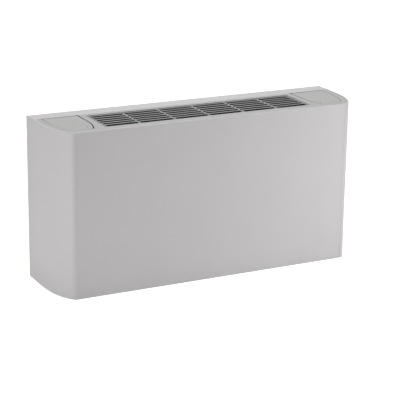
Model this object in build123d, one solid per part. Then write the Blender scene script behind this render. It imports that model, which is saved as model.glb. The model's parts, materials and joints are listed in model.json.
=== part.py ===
from build123d import *
import math
import os

# Cabinet envelope, in millimetres. Origin: centre of the base. +X right, +Y to the wall, +Z up.
WIDTH = 980.0
DEPTH = 248.0
HEIGHT = 490.0
SHELL = 2.0
SEAM_GAP = 0.4
RIM_ROUND = 0.9

# Bowed ends: turning angles at which the flank arc passes into the bow, and the bow into the corner.
BOW_DEPTH = 158.0
BOW_RADIUS = 174.0
CORNER_RADIUS = 18.5
BOW_START_TURN = 11.2
CORNER_START_TURN = 36.8

# Lips and flanges of the outer panels
SEAM_LIP = 16.0
SEAM_LIP_ROOT = 5.0
BASE_LIP = 12.0
PANEL_FLANGE = 18.0
REAR_FLANGE = 22.0
PAD_THICKNESS = 6.0

# Inner sheet metal
SHEET = 1.2
BACK_SHEET = 1.5
CHEEK_FROM_SIDE = 146.0
CHEEK_FLANGE = 16.0
CHEEK_FOOT = 58.0
CHEEK_FOOT_HEIGHT = 30.0
FAN_DECK_HEIGHT = 198.0
DUCT_FLANGE = 11.0
DUCT_COVER_OVERLAP = 8.0
SHEET_GAP = 0.3

# Top cover
RIM_STEP = 0.8
COVER_THICKNESS = 2.5
COVER_FIT = 0.3
REAR_STRIP_FLANGE = 10.0

# Outlet grille and its opening
OUTLET_FROM_SIDE = 156.0
OUTLET_FROM_FRONT = 37.0
OUTLET_DEPTH = 140.0
OUTLET_CORNER = 4.0
OUTLET_SKIRT = 2.0
GRILLE_FIT = 0.4
GRILLE_RECESS = 2.0
GRILLE_HEIGHT = 12.0
GRILLE_END_BAR = 9.0
GRILLE_LEDGE = 7.0
BLADE_COUNT = 6
BLADE_WIDTH = 9.0
BLADE_FRONT_GAP = 17.5
BLADE_REAR_GAP = 3.5
BLADE_ROOT = 0.5
RIB_COUNT = 5
RIB_WIDTH = 4.5
RIB_DROP = 1.0

# End flaps, wells below them and their hinges
FLAP_MARGIN = 25.0
FLAP_INNER_FROM_SIDE = 136.0
FLAP_FROM_FRONT = 32.0
FLAP_LENGTH = 158.0
FLAP_THICKNESS = 2.5
FLAP_GAP = 1.0
FLAP_CORNER = 6.0
FLAP_GRIP_CORNER = 20.0
HINGE_SETBACK = 3.0
HINGE_DROP = 5.2
HINGE_SWEEP_GAP = 0.6
HINGE_BARREL_RADIUS = 3.0
HINGE_BARREL_LENGTH = 14.0
HINGE_PIN_RADIUS = 1.5
PIN_SEAT_CLEARANCE = 0.02
RUNNING_CLEARANCE = 0.05
WELL_STEP = 0.5
WELL_WALL = 2.0
WELL_DEPTH = 38.0
STUD_HEAD_RADIUS = 3.0
STUD_HEAD_THICKNESS = 1.2
STUD_SHANK_RADIUS = 2.0
STUD_LENGTH = 13.0
STUD_FROM_INNER = 26.0
STUD_FROM_FRONT = 24.0
CATCH_POST_RADIUS = 6.0
CATCH_CLIP_WALL = 1.0
CATCH_CLIP_HEIGHT = 8.0
CATCH_CLIP_DEPTH = 7.0
CATCH_FIT = 0.1

# Controls in the left well, from the left side and from the front
CONTROL_FROM_SIDE = 84.0
THERMOSTAT_FROM_FRONT = 150.0
SPEED_FROM_FRONT = 106.0
ROCKER_FROM_FRONT = 68.0
THERMOSTAT_KNOB_RADIUS = 18.0
SPEED_KNOB_RADIUS = 15.0
KNOB_HEIGHT = 12.0
KNOB_SKIRT_HEIGHT = 3.0
KNOB_GRIP_WIDTH = 6.0
KNOB_FLOOR_GAP = 0.6
SPINDLE_RADIUS = 3.0
SPINDLE_LENGTH = 14.0
CONTROL_BODY_SIZE = 34.0
CONTROL_BODY_HEIGHT = 22.0
ROCKER_RADIUS = 9.0
ROCKER_LENGTH = 13.0
ROCKER_TILT = 9.0
ROCKER_CROWN = 3.2
ROCKER_CLEARANCE = 0.4
ROCKER_PIN_RADIUS = 1.2
ROCKER_PIN_LENGTH = 1.6
SWITCH_WALL = 2.0
SWITCH_DEPTH = 11.0
SWITCH_BEZEL_HEIGHT = 1.6
SWITCH_BEZEL_EDGE = 1.5
LAMP_RADIUS = 2.5
LAMP_DOME = 1.5
LAMP_FROM_ROCKER = 21.0

# Overheat cut-out below the right well
CUTOUT_FROM_SIDE = 92.0
CUTOUT_FROM_FRONT = 120.0
CUTOUT_RADIUS = 10.0
CUTOUT_HEIGHT = 18.0
RESET_RADIUS = 4.0
RESET_STEM_RADIUS = 2.0
RESET_STAND = 4.0
RESET_TRAVEL = 2.0

# Fan unit: two wheels in scroll housings on one motor shaft
FAN_FROM_FRONT = 150.0
FAN_HEIGHT = 124.0
WHEEL_RADIUS = 60.0
WHEEL_WIDTH = 168.0
WHEEL_FROM_CENTRE = 175.0
WHEEL_RING_THICKNESS = 2.0
WHEEL_DISC_THICKNESS = 2.0
WHEEL_HUB_RADIUS = 11.0
WHEEL_HUB_LENGTH = 24.0
BLADE_THICKNESS = 0.8
BLADE_CHORD = 9.0
BLADE_LEAN = 35.0
WHEEL_BLADES = 24
SCROLL_START_RADIUS = 67.0
SCROLL_END_RADIUS = 92.0
SCROLL_TONGUE_ANGLE = 66.0
SCROLL_ARCS = 5
SCROLL_WIDTH = 190.0
SCROLL_INLET_RADIUS = 51.0
SHAFT_RADIUS = 5.0
SHAFT_OVERHANG = 8.0
MOTOR_RADIUS = 46.0
MOTOR_LENGTH = 104.0
MOTOR_WALL = 2.0
STATOR_THICKNESS = 13.0
STATOR_LENGTH = 60.0
ROTOR_AIR_GAP = 0.5
BEARING_RADIUS = 11.0
BEARING_LENGTH = 9.0
MOTOR_BRACKET_SHEET = 2.0
MOTOR_BRACKET_EDGE = 9.0
MOTOR_BRACKET_FROM_CENTRE = 38.0

# Finned tubular heating elements
ELEMENT_COUNT = 3
ELEMENT_PITCH = 40.0
ELEMENT_HEIGHT = 300.0
ELEMENT_RADIUS = 4.25
ELEMENT_FIN_RADIUS = 16.0
ELEMENT_FIN_THICKNESS = 1.0
ELEMENT_FIN_PITCH = 15.0
ELEMENT_PLAIN_END = 24.0
ELEMENT_END_LENGTH = 14.0
ELEMENT_STUD_RADIUS = 2.0
ELEMENT_STUD_LENGTH = 12.0
INSULATOR_WALL = 3.0
INSULATOR_LIP = 2.0
INSULATOR_LIP_THICKNESS = 3.0

# Electrical parts beside the right cheek
TERMINAL_COUNT = 6
TERMINAL_PITCH = 12.0
TERMINAL_DEPTH = 22.0
TERMINAL_HEIGHT = 26.0
TERMINAL_BELOW_RELAY = 54.0
TERMINAL_SCREW_RADIUS = 2.6
TERMINAL_SCREW_DEPTH = 4.0
RELAY_WIDTH = 28.0
RELAY_DEPTH = 62.0
RELAY_HEIGHT = 48.0
RELAY_BELOW_ELEMENTS = 22.0
ELECTRICS_FROM_FRONT = 128.0
GLAND_FROM_CHEEK = 32.0
GLAND_FROM_FRONT = 158.0
GLAND_BORE_RADIUS = 4.5
GLAND_THREAD_RADIUS = 8.0
GLAND_NUT_RADIUS = 12.0
GLAND_NUT_HEIGHT = 5.0
GLAND_CAP_HEIGHT = 15.0
GLAND_THREAD_LENGTH = 13.0
HEX_SIDES = 6

# Intake filter in the open base
FILTER_END_GAP = 8.0
FILTER_FRAME = 10.0
FILTER_THICKNESS = 10.0
FILTER_EDGE_GAP = 3.0
FILTER_BARS = 4
FILTER_MESH_THICKNESS = 1.0
FILTER_TAB_WIDTH = 40.0
FILTER_TAB_DEPTH = 3.0
INLET_FRAME_EDGE = 16.0
INLET_FRAME_THICKNESS = 2.0
FILTER_SEAT_GAP = 0.3
FILTER_CLIP_SHEET = 0.8
FILTER_CLIP_WIDTH = 14.0
FILTER_CLIP_SPACING = 130.0
FILTER_CLIP_RISE = 12.0

# Wall fixing holes in the back plate
WALL_HOLE_FROM_SIDE = 110.0
WALL_HOLE_SPACING_Z = 330.0
WALL_HOLE_LOW = 80.0
WALL_HOLE_RADIUS = 4.5

# Fasteners
SCREW_RADIUS = 1.9
SCREW_HEAD_RADIUS = 3.6
SCREW_HEAD_HEIGHT = 1.4
SCREW_HOLE_CLEARANCE = 0.1
PANEL_SCREW_LOW = 60.0
PANEL_SCREW_SPACING = 175.0
PANEL_SCREW_ROWS = 3
GRILLE_SCREW_INSET = 12.0

# Lines that several pieces share
FRONT = -DEPTH / 2
BACK = DEPTH / 2
COVER_TOP = HEIGHT - RIM_STEP
COVER_UNDER = COVER_TOP - COVER_THICKNESS
INNER_BACK = BACK - BACK_SHEET
CHEEK_FROM_CENTRE = WIDTH / 2 - CHEEK_FROM_SIDE
OUTLET_WIDTH = WIDTH - 2 * OUTLET_FROM_SIDE
OUTLET_FRONT = FRONT + OUTLET_FROM_FRONT
OUTLET_BACK = OUTLET_FRONT + OUTLET_DEPTH
GRILLE_TOP = COVER_TOP - GRILLE_RECESS
GRILLE_UNDER = GRILLE_TOP - GRILLE_HEIGHT
FLAP_FRONT = FRONT + FLAP_FROM_FRONT
FLAP_BACK = FLAP_FRONT + FLAP_LENGTH
FLAP_INNER = WIDTH / 2 - FLAP_INNER_FROM_SIDE
HINGE_Y = FLAP_BACK - HINGE_SETBACK
HINGE_Z = COVER_TOP - HINGE_DROP
WELL_FLOOR = COVER_UNDER - WELL_DEPTH
FAN_Y = FRONT + FAN_FROM_FRONT
INSULATION_BACK = FRONT + SHELL + PAD_THICKNESS
FILTER_WIDTH = 2 * (CHEEK_FROM_CENTRE - FILTER_END_GAP)
ELEMENT_FINNED_LENGTH = 2 * (CHEEK_FROM_CENTRE - ELEMENT_PLAIN_END)
RELAY_BASE_HEIGHT = ELEMENT_HEIGHT - RELAY_BELOW_ELEMENTS - RELAY_HEIGHT
TERMINAL_BASE_HEIGHT = RELAY_BASE_HEIGHT - TERMINAL_BELOW_RELAY - TERMINAL_HEIGHT
WALL_HOLE_SPACING_X = WIDTH - 2 * WALL_HOLE_FROM_SIDE
OVERCUT = 1.0


def block(x_range, y_range, z_range):
    """A box between two values on each axis."""
    size = [high - low for low, high in (x_range, y_range, z_range)]
    middle = [(high + low) / 2 for low, high in (x_range, y_range, z_range)]
    return Pos(*middle) * Box(*size)


def rod(radius, start, end):
    """A straight round bar between two points."""
    axis = Vector(*end) - Vector(*start)
    place = Plane(origin=Vector(*start), z_dir=axis)
    return place * Cylinder(radius, axis.length, align=(Align.CENTER, Align.CENTER, Align.MIN))


def rod_x(radius, x_range, y, z):
    """A round bar along X."""
    return rod(radius, (x_range[0], y, z), (x_range[1], y, z))


def rod_z(radius, x, y, z_range):
    """A round bar along Z."""
    return rod(radius, (x, y, z_range[0]), (x, y, z_range[1]))


def mirrored(part):
    """The same piece on the left half of the cabinet."""
    return mirror(part, about=Plane.YZ)


def save(name, part):
    """Write one piece as its own file."""
    solids = part.solids()
    shape = solids[0] if len(solids) == 1 else Compound(children=list(solids))
    export_step(shape, os.path.join("parts", name + ".step"))


def turn_point(centre, radius, turn):
    """The point on an end arc where the outline has turned by that angle from the flank."""
    return centre[0] + radius * math.cos(turn), centre[1] - radius * math.sin(turn)


def bow_arcs():
    """The tangent arcs of the right end, rear to front: centre, radius, first and last turn."""
    first = math.radians(BOW_START_TURN)
    second = math.radians(CORNER_START_TURN)
    bow_run = BOW_RADIUS * (math.sin(second) - math.sin(first))
    corner_run = CORNER_RADIUS * (1 - math.sin(second))
    flank_radius = (BOW_DEPTH - bow_run - corner_run) / math.sin(first)
    flank_centre = (WIDTH / 2 - flank_radius, FRONT + BOW_DEPTH)
    bow_centre = turn_point(flank_centre, flank_radius - BOW_RADIUS, first)
    corner_centre = turn_point(bow_centre, BOW_RADIUS - CORNER_RADIUS, second)
    flank = (flank_centre, flank_radius, 0, first)
    bow = (bow_centre, BOW_RADIUS, first, second)
    corner = (corner_centre, CORNER_RADIUS, second, math.pi / 2)
    return flank, bow, corner


def seam_x():
    """Distance from the centre to the line where the end curve meets the flat front."""
    return bow_arcs()[2][0][0]


def half_plan(inset, rear):
    """The right half of the cabinet's plan, inset from its outline, back to the line y = rear."""
    arcs = list(bow_arcs())
    if inset >= CORNER_RADIUS:
        centre, radius, start, _ = arcs[1]
        arcs = [arcs[0], (centre, radius, start, math.pi / 2)]
    edges = []
    for centre, radius, start, end in arcs:
        turns = (start, (start + end) / 2, end)
        edges.append(ThreePointArc(*[turn_point(centre, radius - inset, turn) for turn in turns]))
    side = edges[0] @ 0
    nose = edges[-1] @ 1
    edges.append(Polyline(nose, (0, nose.Y), (0, rear), (side.X, rear), side))
    return make_face(edges)


def half_prism(inset, rear, z_range):
    """The right half plan, inset, as a solid between two heights."""
    solid = extrude(half_plan(inset, rear), amount=z_range[1] - z_range[0], dir=(0, 0, 1))
    return Pos(0, 0, z_range[0]) * solid


def right_side_panel():
    """Bowed end panel with a seam lip, a base lip and a rear flange."""
    outer = half_prism(0, BACK, (0, HEIGHT))
    outer = fillet(outer.edges().group_by(Axis.Z)[-1].filter_by(lambda e: e.center().X > seam_x()), RIM_ROUND)
    inner = half_prism(SHELL, BACK + OVERCUT, (-OVERCUT, HEIGHT + OVERCUT))
    end = block(
        (seam_x(), WIDTH / 2 + OVERCUT),
        (FRONT - OVERCUT, BACK + OVERCUT),
        (-OVERCUT, HEIGHT + OVERCUT),
    )
    wall = (outer - inner) & end
    base_ring = half_prism(SHELL / 2, BACK, (0, SHELL)) - half_prism(
        SHELL + BASE_LIP, INNER_BACK - REAR_FLANGE, (-OVERCUT, SHELL + OVERCUT)
    )
    base = (base_ring & end) & block((0, WIDTH), (FRONT, INNER_BACK - SHEET_GAP), (0, SHELL))
    seam = block(
        (seam_x() - SEAM_LIP, seam_x() + SEAM_LIP_ROOT),
        (FRONT + SHELL, FRONT + 2 * SHELL),
        (SHELL + SHEET_GAP, COVER_UNDER - SHELL - SHEET_GAP),
    )
    rear = block(
        (WIDTH / 2 - SHELL - REAR_FLANGE, WIDTH / 2 - SHELL / 2),
        (INNER_BACK - SHELL, INNER_BACK),
        (0, COVER_UNDER),
    )
    return wall + base + seam + rear - panel_screw_holes()


def front_panel():
    """Flat front with a flange below the top cover and another at the base."""
    half = seam_x() - SEAM_GAP
    sheet = block((-half, half), (FRONT, FRONT + SHELL), (0, HEIGHT))
    rim = sheet.edges().filter_by(Axis.X).group_by(Axis.Z)[-1].sort_by(Axis.Y)[0]
    sheet = fillet(rim, RIM_ROUND)
    flange_half = half - SEAM_LIP - SHELL
    depth = (FRONT + SHELL, FRONT + PANEL_FLANGE)
    top = block((-flange_half, flange_half), depth, (COVER_UNDER - SHELL, COVER_UNDER))
    base = block((-flange_half, flange_half), depth, (0, SHELL))
    return sheet + top + base


def front_pad():
    """Foam pad on the inside of the front panel, between the cheeks."""
    half = CHEEK_FROM_CENTRE - SHEET_GAP
    return block(
        (-half, half),
        (FRONT + SHELL, INSULATION_BACK),
        (CHEEK_FOOT_HEIGHT, COVER_UNDER - PANEL_FLANGE),
    )


def wall_holes():
    """The four round holes that take the wall screws."""
    holes = []
    for side in (-1, 1):
        for row in range(2):
            x = side * WALL_HOLE_SPACING_X / 2
            z = WALL_HOLE_LOW + row * WALL_HOLE_SPACING_Z
            holes.append(rod(WALL_HOLE_RADIUS, (x, INNER_BACK - OVERCUT, z), (x, BACK + OVERCUT, z)))
    return holes


def panel_screw_places():
    """Heights of the screws that hold a side panel to the back plate."""
    x = WIDTH / 2 - SHELL - REAR_FLANGE / 2
    return [(x, PANEL_SCREW_LOW + row * PANEL_SCREW_SPACING) for row in range(PANEL_SCREW_ROWS)]


def panel_screw_holes():
    """Clearance holes for the right side panel's screws."""
    radius = SCREW_RADIUS + SCREW_HOLE_CLEARANCE
    reach = (INNER_BACK - SHELL - OVERCUT, BACK + OVERCUT)
    return [rod(radius, (x, reach[0], z), (x, reach[1], z)) for x, z in panel_screw_places()]


def right_panel_screws():
    """Screws through the rear flange into the back plate, with their heads inside."""
    screws = []
    head_face = INNER_BACK - SHELL
    for x, z in panel_screw_places():
        head = rod(SCREW_HEAD_RADIUS, (x, head_face - SCREW_HEAD_HEIGHT, z), (x, head_face, z))
        shank = rod(SCREW_RADIUS, (x, head_face, z), (x, BACK - SHEET_GAP, z))
        screws.append(head + shank)
    return Compound(children=screws)


def back_plate():
    """Rear plate with the wall fixing holes and a stiffening flange above the base."""
    half = WIDTH / 2 - SHELL - SHEET_GAP
    plate = block((-half, half), (INNER_BACK, BACK), (0, COVER_UNDER))
    screw_holes = panel_screw_holes()
    left_holes = [mirrored(hole) for hole in screw_holes]
    return plate - wall_holes() - screw_holes - left_holes


def element_places():
    """Y of each heating element, spread about the middle of the outlet duct."""
    middle = (OUTLET_FRONT + OUTLET_BACK) / 2
    first = middle - ELEMENT_PITCH * (ELEMENT_COUNT - 1) / 2
    return [first + ELEMENT_PITCH * index for index in range(ELEMENT_COUNT)]


def gland_place():
    """X and Y of the supply cable's gland in the right cheek's foot."""
    return CHEEK_FROM_CENTRE + GLAND_FROM_CHEEK, FRONT + GLAND_FROM_FRONT


def cheek():
    """Inner end plate: front and rear flanges, a foot, and holes for the element ends."""
    outside = CHEEK_FROM_CENTRE + SHEET
    depth = (INSULATION_BACK, INNER_BACK)
    height = (CHEEK_FOOT_HEIGHT, COVER_UNDER)
    plate = block((CHEEK_FROM_CENTRE, outside), depth, height)
    flange_notch = (COVER_UNDER - SHELL - SHEET_GAP, HEIGHT)
    plate = plate - block((0, WIDTH), (FRONT, FRONT + PANEL_FLANGE + SHEET_GAP), flange_notch)
    flange = (CHEEK_FROM_CENTRE, outside + CHEEK_FLANGE)
    flange_height = (CHEEK_FOOT_HEIGHT, WELL_FLOOR - WELL_WALL - SHEET_GAP)
    front = block(flange, (INSULATION_BACK, INSULATION_BACK + SHEET), flange_height)
    rear = block(flange, (INNER_BACK - SHEET, INNER_BACK), flange_height)
    foot = block(
        (CHEEK_FROM_CENTRE, outside + CHEEK_FOOT),
        depth,
        (CHEEK_FOOT_HEIGHT - SHEET, CHEEK_FOOT_HEIGHT),
    )
    holes = []
    for y in element_places():
        radius = ELEMENT_RADIUS + PIN_SEAT_CLEARANCE + INSULATOR_WALL + SCREW_HOLE_CLEARANCE
        holes.append(rod_x(radius, (CHEEK_FROM_CENTRE - OVERCUT, outside + OVERCUT), y, ELEMENT_HEIGHT))
    return plate + front + rear + foot - holes


def right_cheek():
    """The right end plate, whose foot also takes the cable gland."""
    x, y = gland_place()
    foot_range = (CHEEK_FOOT_HEIGHT - SHEET - OVERCUT, CHEEK_FOOT_HEIGHT + OVERCUT)
    return cheek() - rod_z(GLAND_THREAD_RADIUS + SCREW_HOLE_CLEARANCE, x, y, foot_range)


def cable_gland():
    """Hexagonal cap below the foot, threaded neck through it and locknut above, bored for the cable."""
    x, y = gland_place()
    under = CHEEK_FOOT_HEIGHT - SHEET
    hexagon = RegularPolygon(GLAND_NUT_RADIUS, HEX_SIDES)
    cap = Pos(x, y, under - GLAND_CAP_HEIGHT) * extrude(hexagon, amount=GLAND_CAP_HEIGHT)
    neck = rod_z(GLAND_THREAD_RADIUS, x, y, (under, under + GLAND_THREAD_LENGTH))
    nut = Pos(x, y, CHEEK_FOOT_HEIGHT) * extrude(hexagon, amount=GLAND_NUT_HEIGHT)
    bore = rod_z(
        GLAND_BORE_RADIUS,
        x,
        y,
        (under - GLAND_CAP_HEIGHT - OVERCUT, under + GLAND_THREAD_LENGTH + OVERCUT),
    )
    return cap + neck + nut - bore


def outlet_prism(grow, z_range):
    """The outlet opening in plan, grown on every side, between two heights."""
    half = OUTLET_WIDTH / 2 + grow
    solid = block((-half, half), (OUTLET_FRONT - grow, OUTLET_BACK + grow), z_range)
    return fillet(solid.edges().filter_by(Axis.Z), OUTLET_CORNER + grow)


def flap_prism(grow, rear_grow, grip_corner, z_range):
    """The right flap in plan, grown on its front and sides and at the rear, between two heights."""
    rear = FLAP_BACK + rear_grow
    plan = half_prism(FLAP_MARGIN - grow, rear, z_range)
    front = FLAP_FRONT - grow
    solid = plan & block((FLAP_INNER - grow, WIDTH / 2), (front, rear), z_range)
    corners = solid.edges().filter_by(Axis.Z)
    grip = corners.sort_by(lambda e: e.center().X + e.center().Y)[0]
    solid = fillet(grip, grip_corner)
    others = [e for e in solid.edges().filter_by(Axis.Z) if is_flap_corner(e, front, rear, grow, grip_corner)]
    return fillet(others, FLAP_CORNER)


def is_flap_corner(edge, front, rear, grow, grip_corner):
    """Whether an upright edge is a sharp corner of the flap's plan."""
    spot = edge.center()
    on_rear = abs(spot.Y - rear) < OVERCUT
    on_front = abs(spot.Y - front) < OVERCUT
    past_grip = spot.X > FLAP_INNER - grow + grip_corner + OVERCUT
    return on_rear or (on_front and past_grip)


def hinge_gap():
    """Gap behind the flap that lets its rear edge sweep round the hinge axis."""
    return math.hypot(HINGE_SETBACK, HINGE_DROP) - HINGE_SETBACK + HINGE_SWEEP_GAP


def hinge_ends():
    """X of the flap's inner and outer edges at the hinge axis."""
    return FLAP_INNER, WIDTH / 2 - FLAP_MARGIN


def flap_pin_spans():
    """X ranges of the two hinge pins, each from inside its barrel to the well's outer face."""
    inner, outer = hinge_ends()
    reach = FLAP_GAP + WELL_STEP + WELL_WALL
    half_barrel = HINGE_BARREL_LENGTH / 2
    return (inner - reach, inner + half_barrel), (outer - half_barrel, outer + reach)


def stud_place():
    """X and Y of the right flap's catch stud."""
    return FLAP_INNER + STUD_FROM_INNER, FLAP_FRONT + STUD_FROM_FRONT


def right_flap():
    """Lid with a rounded grip corner, two hinge barrels and a seat for the catch stud."""
    lid = flap_prism(0, 0, FLAP_GRIP_CORNER, (COVER_TOP - FLAP_THICKNESS, COVER_TOP))
    inner, outer = hinge_ends()
    spans = (inner, inner + HINGE_BARREL_LENGTH), (outer - HINGE_BARREL_LENGTH, outer)
    for span in spans:
        barrel = rod_x(HINGE_BARREL_RADIUS, span, HINGE_Y, HINGE_Z)
        web_y = (HINGE_Y - HINGE_BARREL_RADIUS, HINGE_Y + HINGE_SETBACK - WELL_STEP)
        web = block(span, web_y, (HINGE_Z, COVER_TOP - FLAP_THICKNESS))
        lid = lid + barrel + web
    for span in flap_pin_spans():
        lid = lid - rod_x(HINGE_PIN_RADIUS + PIN_SEAT_CLEARANCE, span, HINGE_Y, HINGE_Z)
    x, y = stud_place()
    shank_hole = rod_z(STUD_SHANK_RADIUS + PIN_SEAT_CLEARANCE, x, y, (COVER_UNDER - OVERCUT, COVER_TOP))
    head_hole = rod_z(
        STUD_HEAD_RADIUS + PIN_SEAT_CLEARANCE,
        x,
        y,
        (COVER_TOP - STUD_HEAD_THICKNESS, COVER_TOP + OVERCUT),
    )
    return lid - shank_hole - head_hole


def right_flap_pins():
    """The flap's two steel hinge pins."""
    return Compound(children=[rod_x(HINGE_PIN_RADIUS, span, HINGE_Y, HINGE_Z) for span in flap_pin_spans()])


def right_flap_stud():
    """Catch stud set flush in the flap."""
    x, y = stud_place()
    head = rod_z(STUD_HEAD_RADIUS, x, y, (COVER_TOP - STUD_HEAD_THICKNESS, COVER_TOP))
    return head + rod_z(STUD_SHANK_RADIUS, x, y, (COVER_TOP - STUD_LENGTH, COVER_TOP - STUD_HEAD_THICKNESS))


def catch_base():
    """Height at which the spring clip stands on its post."""
    return COVER_TOP - STUD_LENGTH - CATCH_CLIP_WALL - CATCH_FIT


def right_catch_clip():
    """U-shaped spring clip that grips the flap's stud."""
    x, y = stud_place()
    gap = STUD_SHANK_RADIUS + CATCH_FIT
    depth = (y - CATCH_CLIP_DEPTH / 2, y + CATCH_CLIP_DEPTH / 2)
    base = catch_base()
    outer = block(
        (x - gap - CATCH_CLIP_WALL, x + gap + CATCH_CLIP_WALL),
        depth,
        (base, base + CATCH_CLIP_HEIGHT),
    )
    slot_depth = (depth[0] - OVERCUT, depth[1] + OVERCUT)
    slot = block((x - gap, x + gap), slot_depth, (base + CATCH_CLIP_WALL, base + CATCH_CLIP_HEIGHT + OVERCUT))
    return outer - slot


def right_well():
    """Moulded box below the flap, with bores for the hinge pins and a post for the catch clip."""
    grow = FLAP_GAP + WELL_STEP
    rear = hinge_gap() + WELL_STEP
    floor_under = WELL_FLOOR - WELL_WALL
    outer = flap_prism(grow + WELL_WALL, rear + WELL_WALL, FLAP_CORNER, (floor_under, COVER_UNDER))
    inner = flap_prism(grow, rear, FLAP_CORNER, (WELL_FLOOR, COVER_UNDER + OVERCUT))
    inner_rear = FLAP_BACK + rear
    well = squared_rear(outer, inner_rear + WELL_WALL) - squared_rear(inner, inner_rear)
    for span in flap_pin_spans():
        well = well - rod_x(HINGE_PIN_RADIUS + RUNNING_CLEARANCE, span, HINGE_Y, HINGE_Z)
    x, y = stud_place()
    return well + rod_z(CATCH_POST_RADIUS, x, y, (WELL_FLOOR, catch_base()))


def cutout_place():
    """X and Y of the overheat cut-out and its reset button."""
    return WIDTH / 2 - CUTOUT_FROM_SIDE, FRONT + CUTOUT_FROM_FRONT


def through_floor(radius, x, y):
    """A round hole through a well's floor."""
    return rod_z(radius, x, y, (WELL_FLOOR - WELL_WALL - OVERCUT, WELL_FLOOR + OVERCUT))


def service_well():
    """The right well, with a hole over the reset button."""
    x, y = cutout_place()
    return right_well() - through_floor(RESET_RADIUS + RUNNING_CLEARANCE, x, y)


def reset_button():
    """Round button that re-arms the cut-out, with its stem."""
    x, y = cutout_place()
    under = WELL_FLOOR - WELL_WALL + RESET_TRAVEL + CATCH_FIT
    cap = rod_z(RESET_RADIUS, x, y, (under, WELL_FLOOR + RESET_STAND))
    stem_end = WELL_FLOOR - WELL_WALL - CUTOUT_HEIGHT / 2
    return cap + rod_z(RESET_STEM_RADIUS, x, y, (stem_end, under))


def overheat_cutout():
    """Manual-reset thermal cut-out fixed below the service well."""
    x, y = cutout_place()
    top = WELL_FLOOR - WELL_WALL
    can = rod_z(CUTOUT_RADIUS, x, y, (top - CUTOUT_HEIGHT, top))
    shaft_end = top - CUTOUT_HEIGHT / 2 - RESET_TRAVEL - OVERCUT
    return can - rod_z(RESET_STEM_RADIUS + RUNNING_CLEARANCE, x, y, (shaft_end, top + OVERCUT))


def control_places():
    """X and Y of the thermostat knob, the speed knob and the rocker switch."""
    x = -(WIDTH / 2 - CONTROL_FROM_SIDE)
    return [(x, FRONT + y) for y in (THERMOSTAT_FROM_FRONT, SPEED_FROM_FRONT, ROCKER_FROM_FRONT)]


def switch_size():
    """Outer X and Y size of the rocker switch's housing."""
    across = 2 * (ROCKER_RADIUS + ROCKER_CLEARANCE + SWITCH_WALL)
    along = ROCKER_LENGTH + 2 * (ROCKER_CLEARANCE + SWITCH_WALL)
    return across, along


def lamp_place():
    """X and Y of the pilot lamp beside the rocker switch."""
    x, y = control_places()[2]
    return x - LAMP_FROM_ROCKER, y


def control_well():
    """The left well, cut for the spindles, the switch and the lamp."""
    well = mirrored(right_well())
    thermostat, speed, rocker = control_places()
    for x, y in (thermostat, speed):
        well = well - through_floor(SPINDLE_RADIUS + SCREW_HOLE_CLEARANCE, x, y)
    well = well - through_floor(LAMP_RADIUS + PIN_SEAT_CLEARANCE, *lamp_place())
    across, along = switch_size()
    half_x = across / 2 + PIN_SEAT_CLEARANCE
    half_y = along / 2 + PIN_SEAT_CLEARANCE
    z_range = (WELL_FLOOR - WELL_WALL - OVERCUT, WELL_FLOOR + OVERCUT)
    x, y = rocker
    return well - block((x - half_x, x + half_x), (y - half_y, y + half_y), z_range)


def knob(place, radius):
    """Control knob: round skirt, gripping bar with a pointer end, and its spindle."""
    x, y = place
    base = WELL_FLOOR + KNOB_FLOOR_GAP
    skirt = rod_z(radius, x, y, (base, base + KNOB_SKIRT_HEIGHT))
    half_grip = KNOB_GRIP_WIDTH / 2
    grip = block((x - half_grip, x + half_grip), (y - radius, y + radius), (base, base + KNOB_HEIGHT))
    grip = grip & rod_z(radius - PIN_SEAT_CLEARANCE, x, y, (base, base + KNOB_HEIGHT))
    pointer_y = y - radius + half_grip
    notch = rod_z(half_grip / 3, x, pointer_y, (base + KNOB_HEIGHT - 1, base + KNOB_HEIGHT + OVERCUT))
    hub = rod_z(radius / 2, x, y, (base, base + KNOB_HEIGHT))
    spindle = rod_z(SPINDLE_RADIUS, x, y, (WELL_FLOOR - SPINDLE_LENGTH, base))
    return skirt + grip + hub + spindle - notch


def control_body(place):
    """Square body of the thermostat or the speed selector, below the well's floor."""
    x, y = place
    half = CONTROL_BODY_SIZE / 2
    top = WELL_FLOOR - WELL_WALL
    body = block((x - half, x + half), (y - half, y + half), (top - CONTROL_BODY_HEIGHT, top))
    hole_end = WELL_FLOOR - SPINDLE_LENGTH - OVERCUT
    return body - rod_z(SPINDLE_RADIUS + RUNNING_CLEARANCE, x, y, (hole_end, top + OVERCUT))


def rocker_pivot():
    """X, Y and Z of the rocker's pivot."""
    x, y = control_places()[2]
    return x, y, WELL_FLOOR


def power_rocker():
    """Rocker with a shallow V top and two trunnions, tilted to its off side."""
    half = ROCKER_LENGTH / 2
    drum = rod(ROCKER_RADIUS, (0, -half, 0), (0, half, 0))
    for side in (-1, 1):
        cutter = Pos(0, 0, ROCKER_CROWN + ROCKER_RADIUS) * Box(
            4 * ROCKER_RADIUS,
            2 * ROCKER_LENGTH,
            2 * ROCKER_RADIUS,
        )
        cutter = cutter & block(
            (0, side * 2 * ROCKER_RADIUS)[::side],
            (-ROCKER_LENGTH, ROCKER_LENGTH),
            (0, 3 * ROCKER_RADIUS),
        )
        drum = drum - Rot(0, -side * ROCKER_TILT, 0) * cutter
    pins = rod(ROCKER_PIN_RADIUS, (0, -half - ROCKER_PIN_LENGTH, 0), (0, half + ROCKER_PIN_LENGTH, 0))
    return Pos(*rocker_pivot()) * Rot(0, ROCKER_TILT, 0) * (drum + pins)


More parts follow.
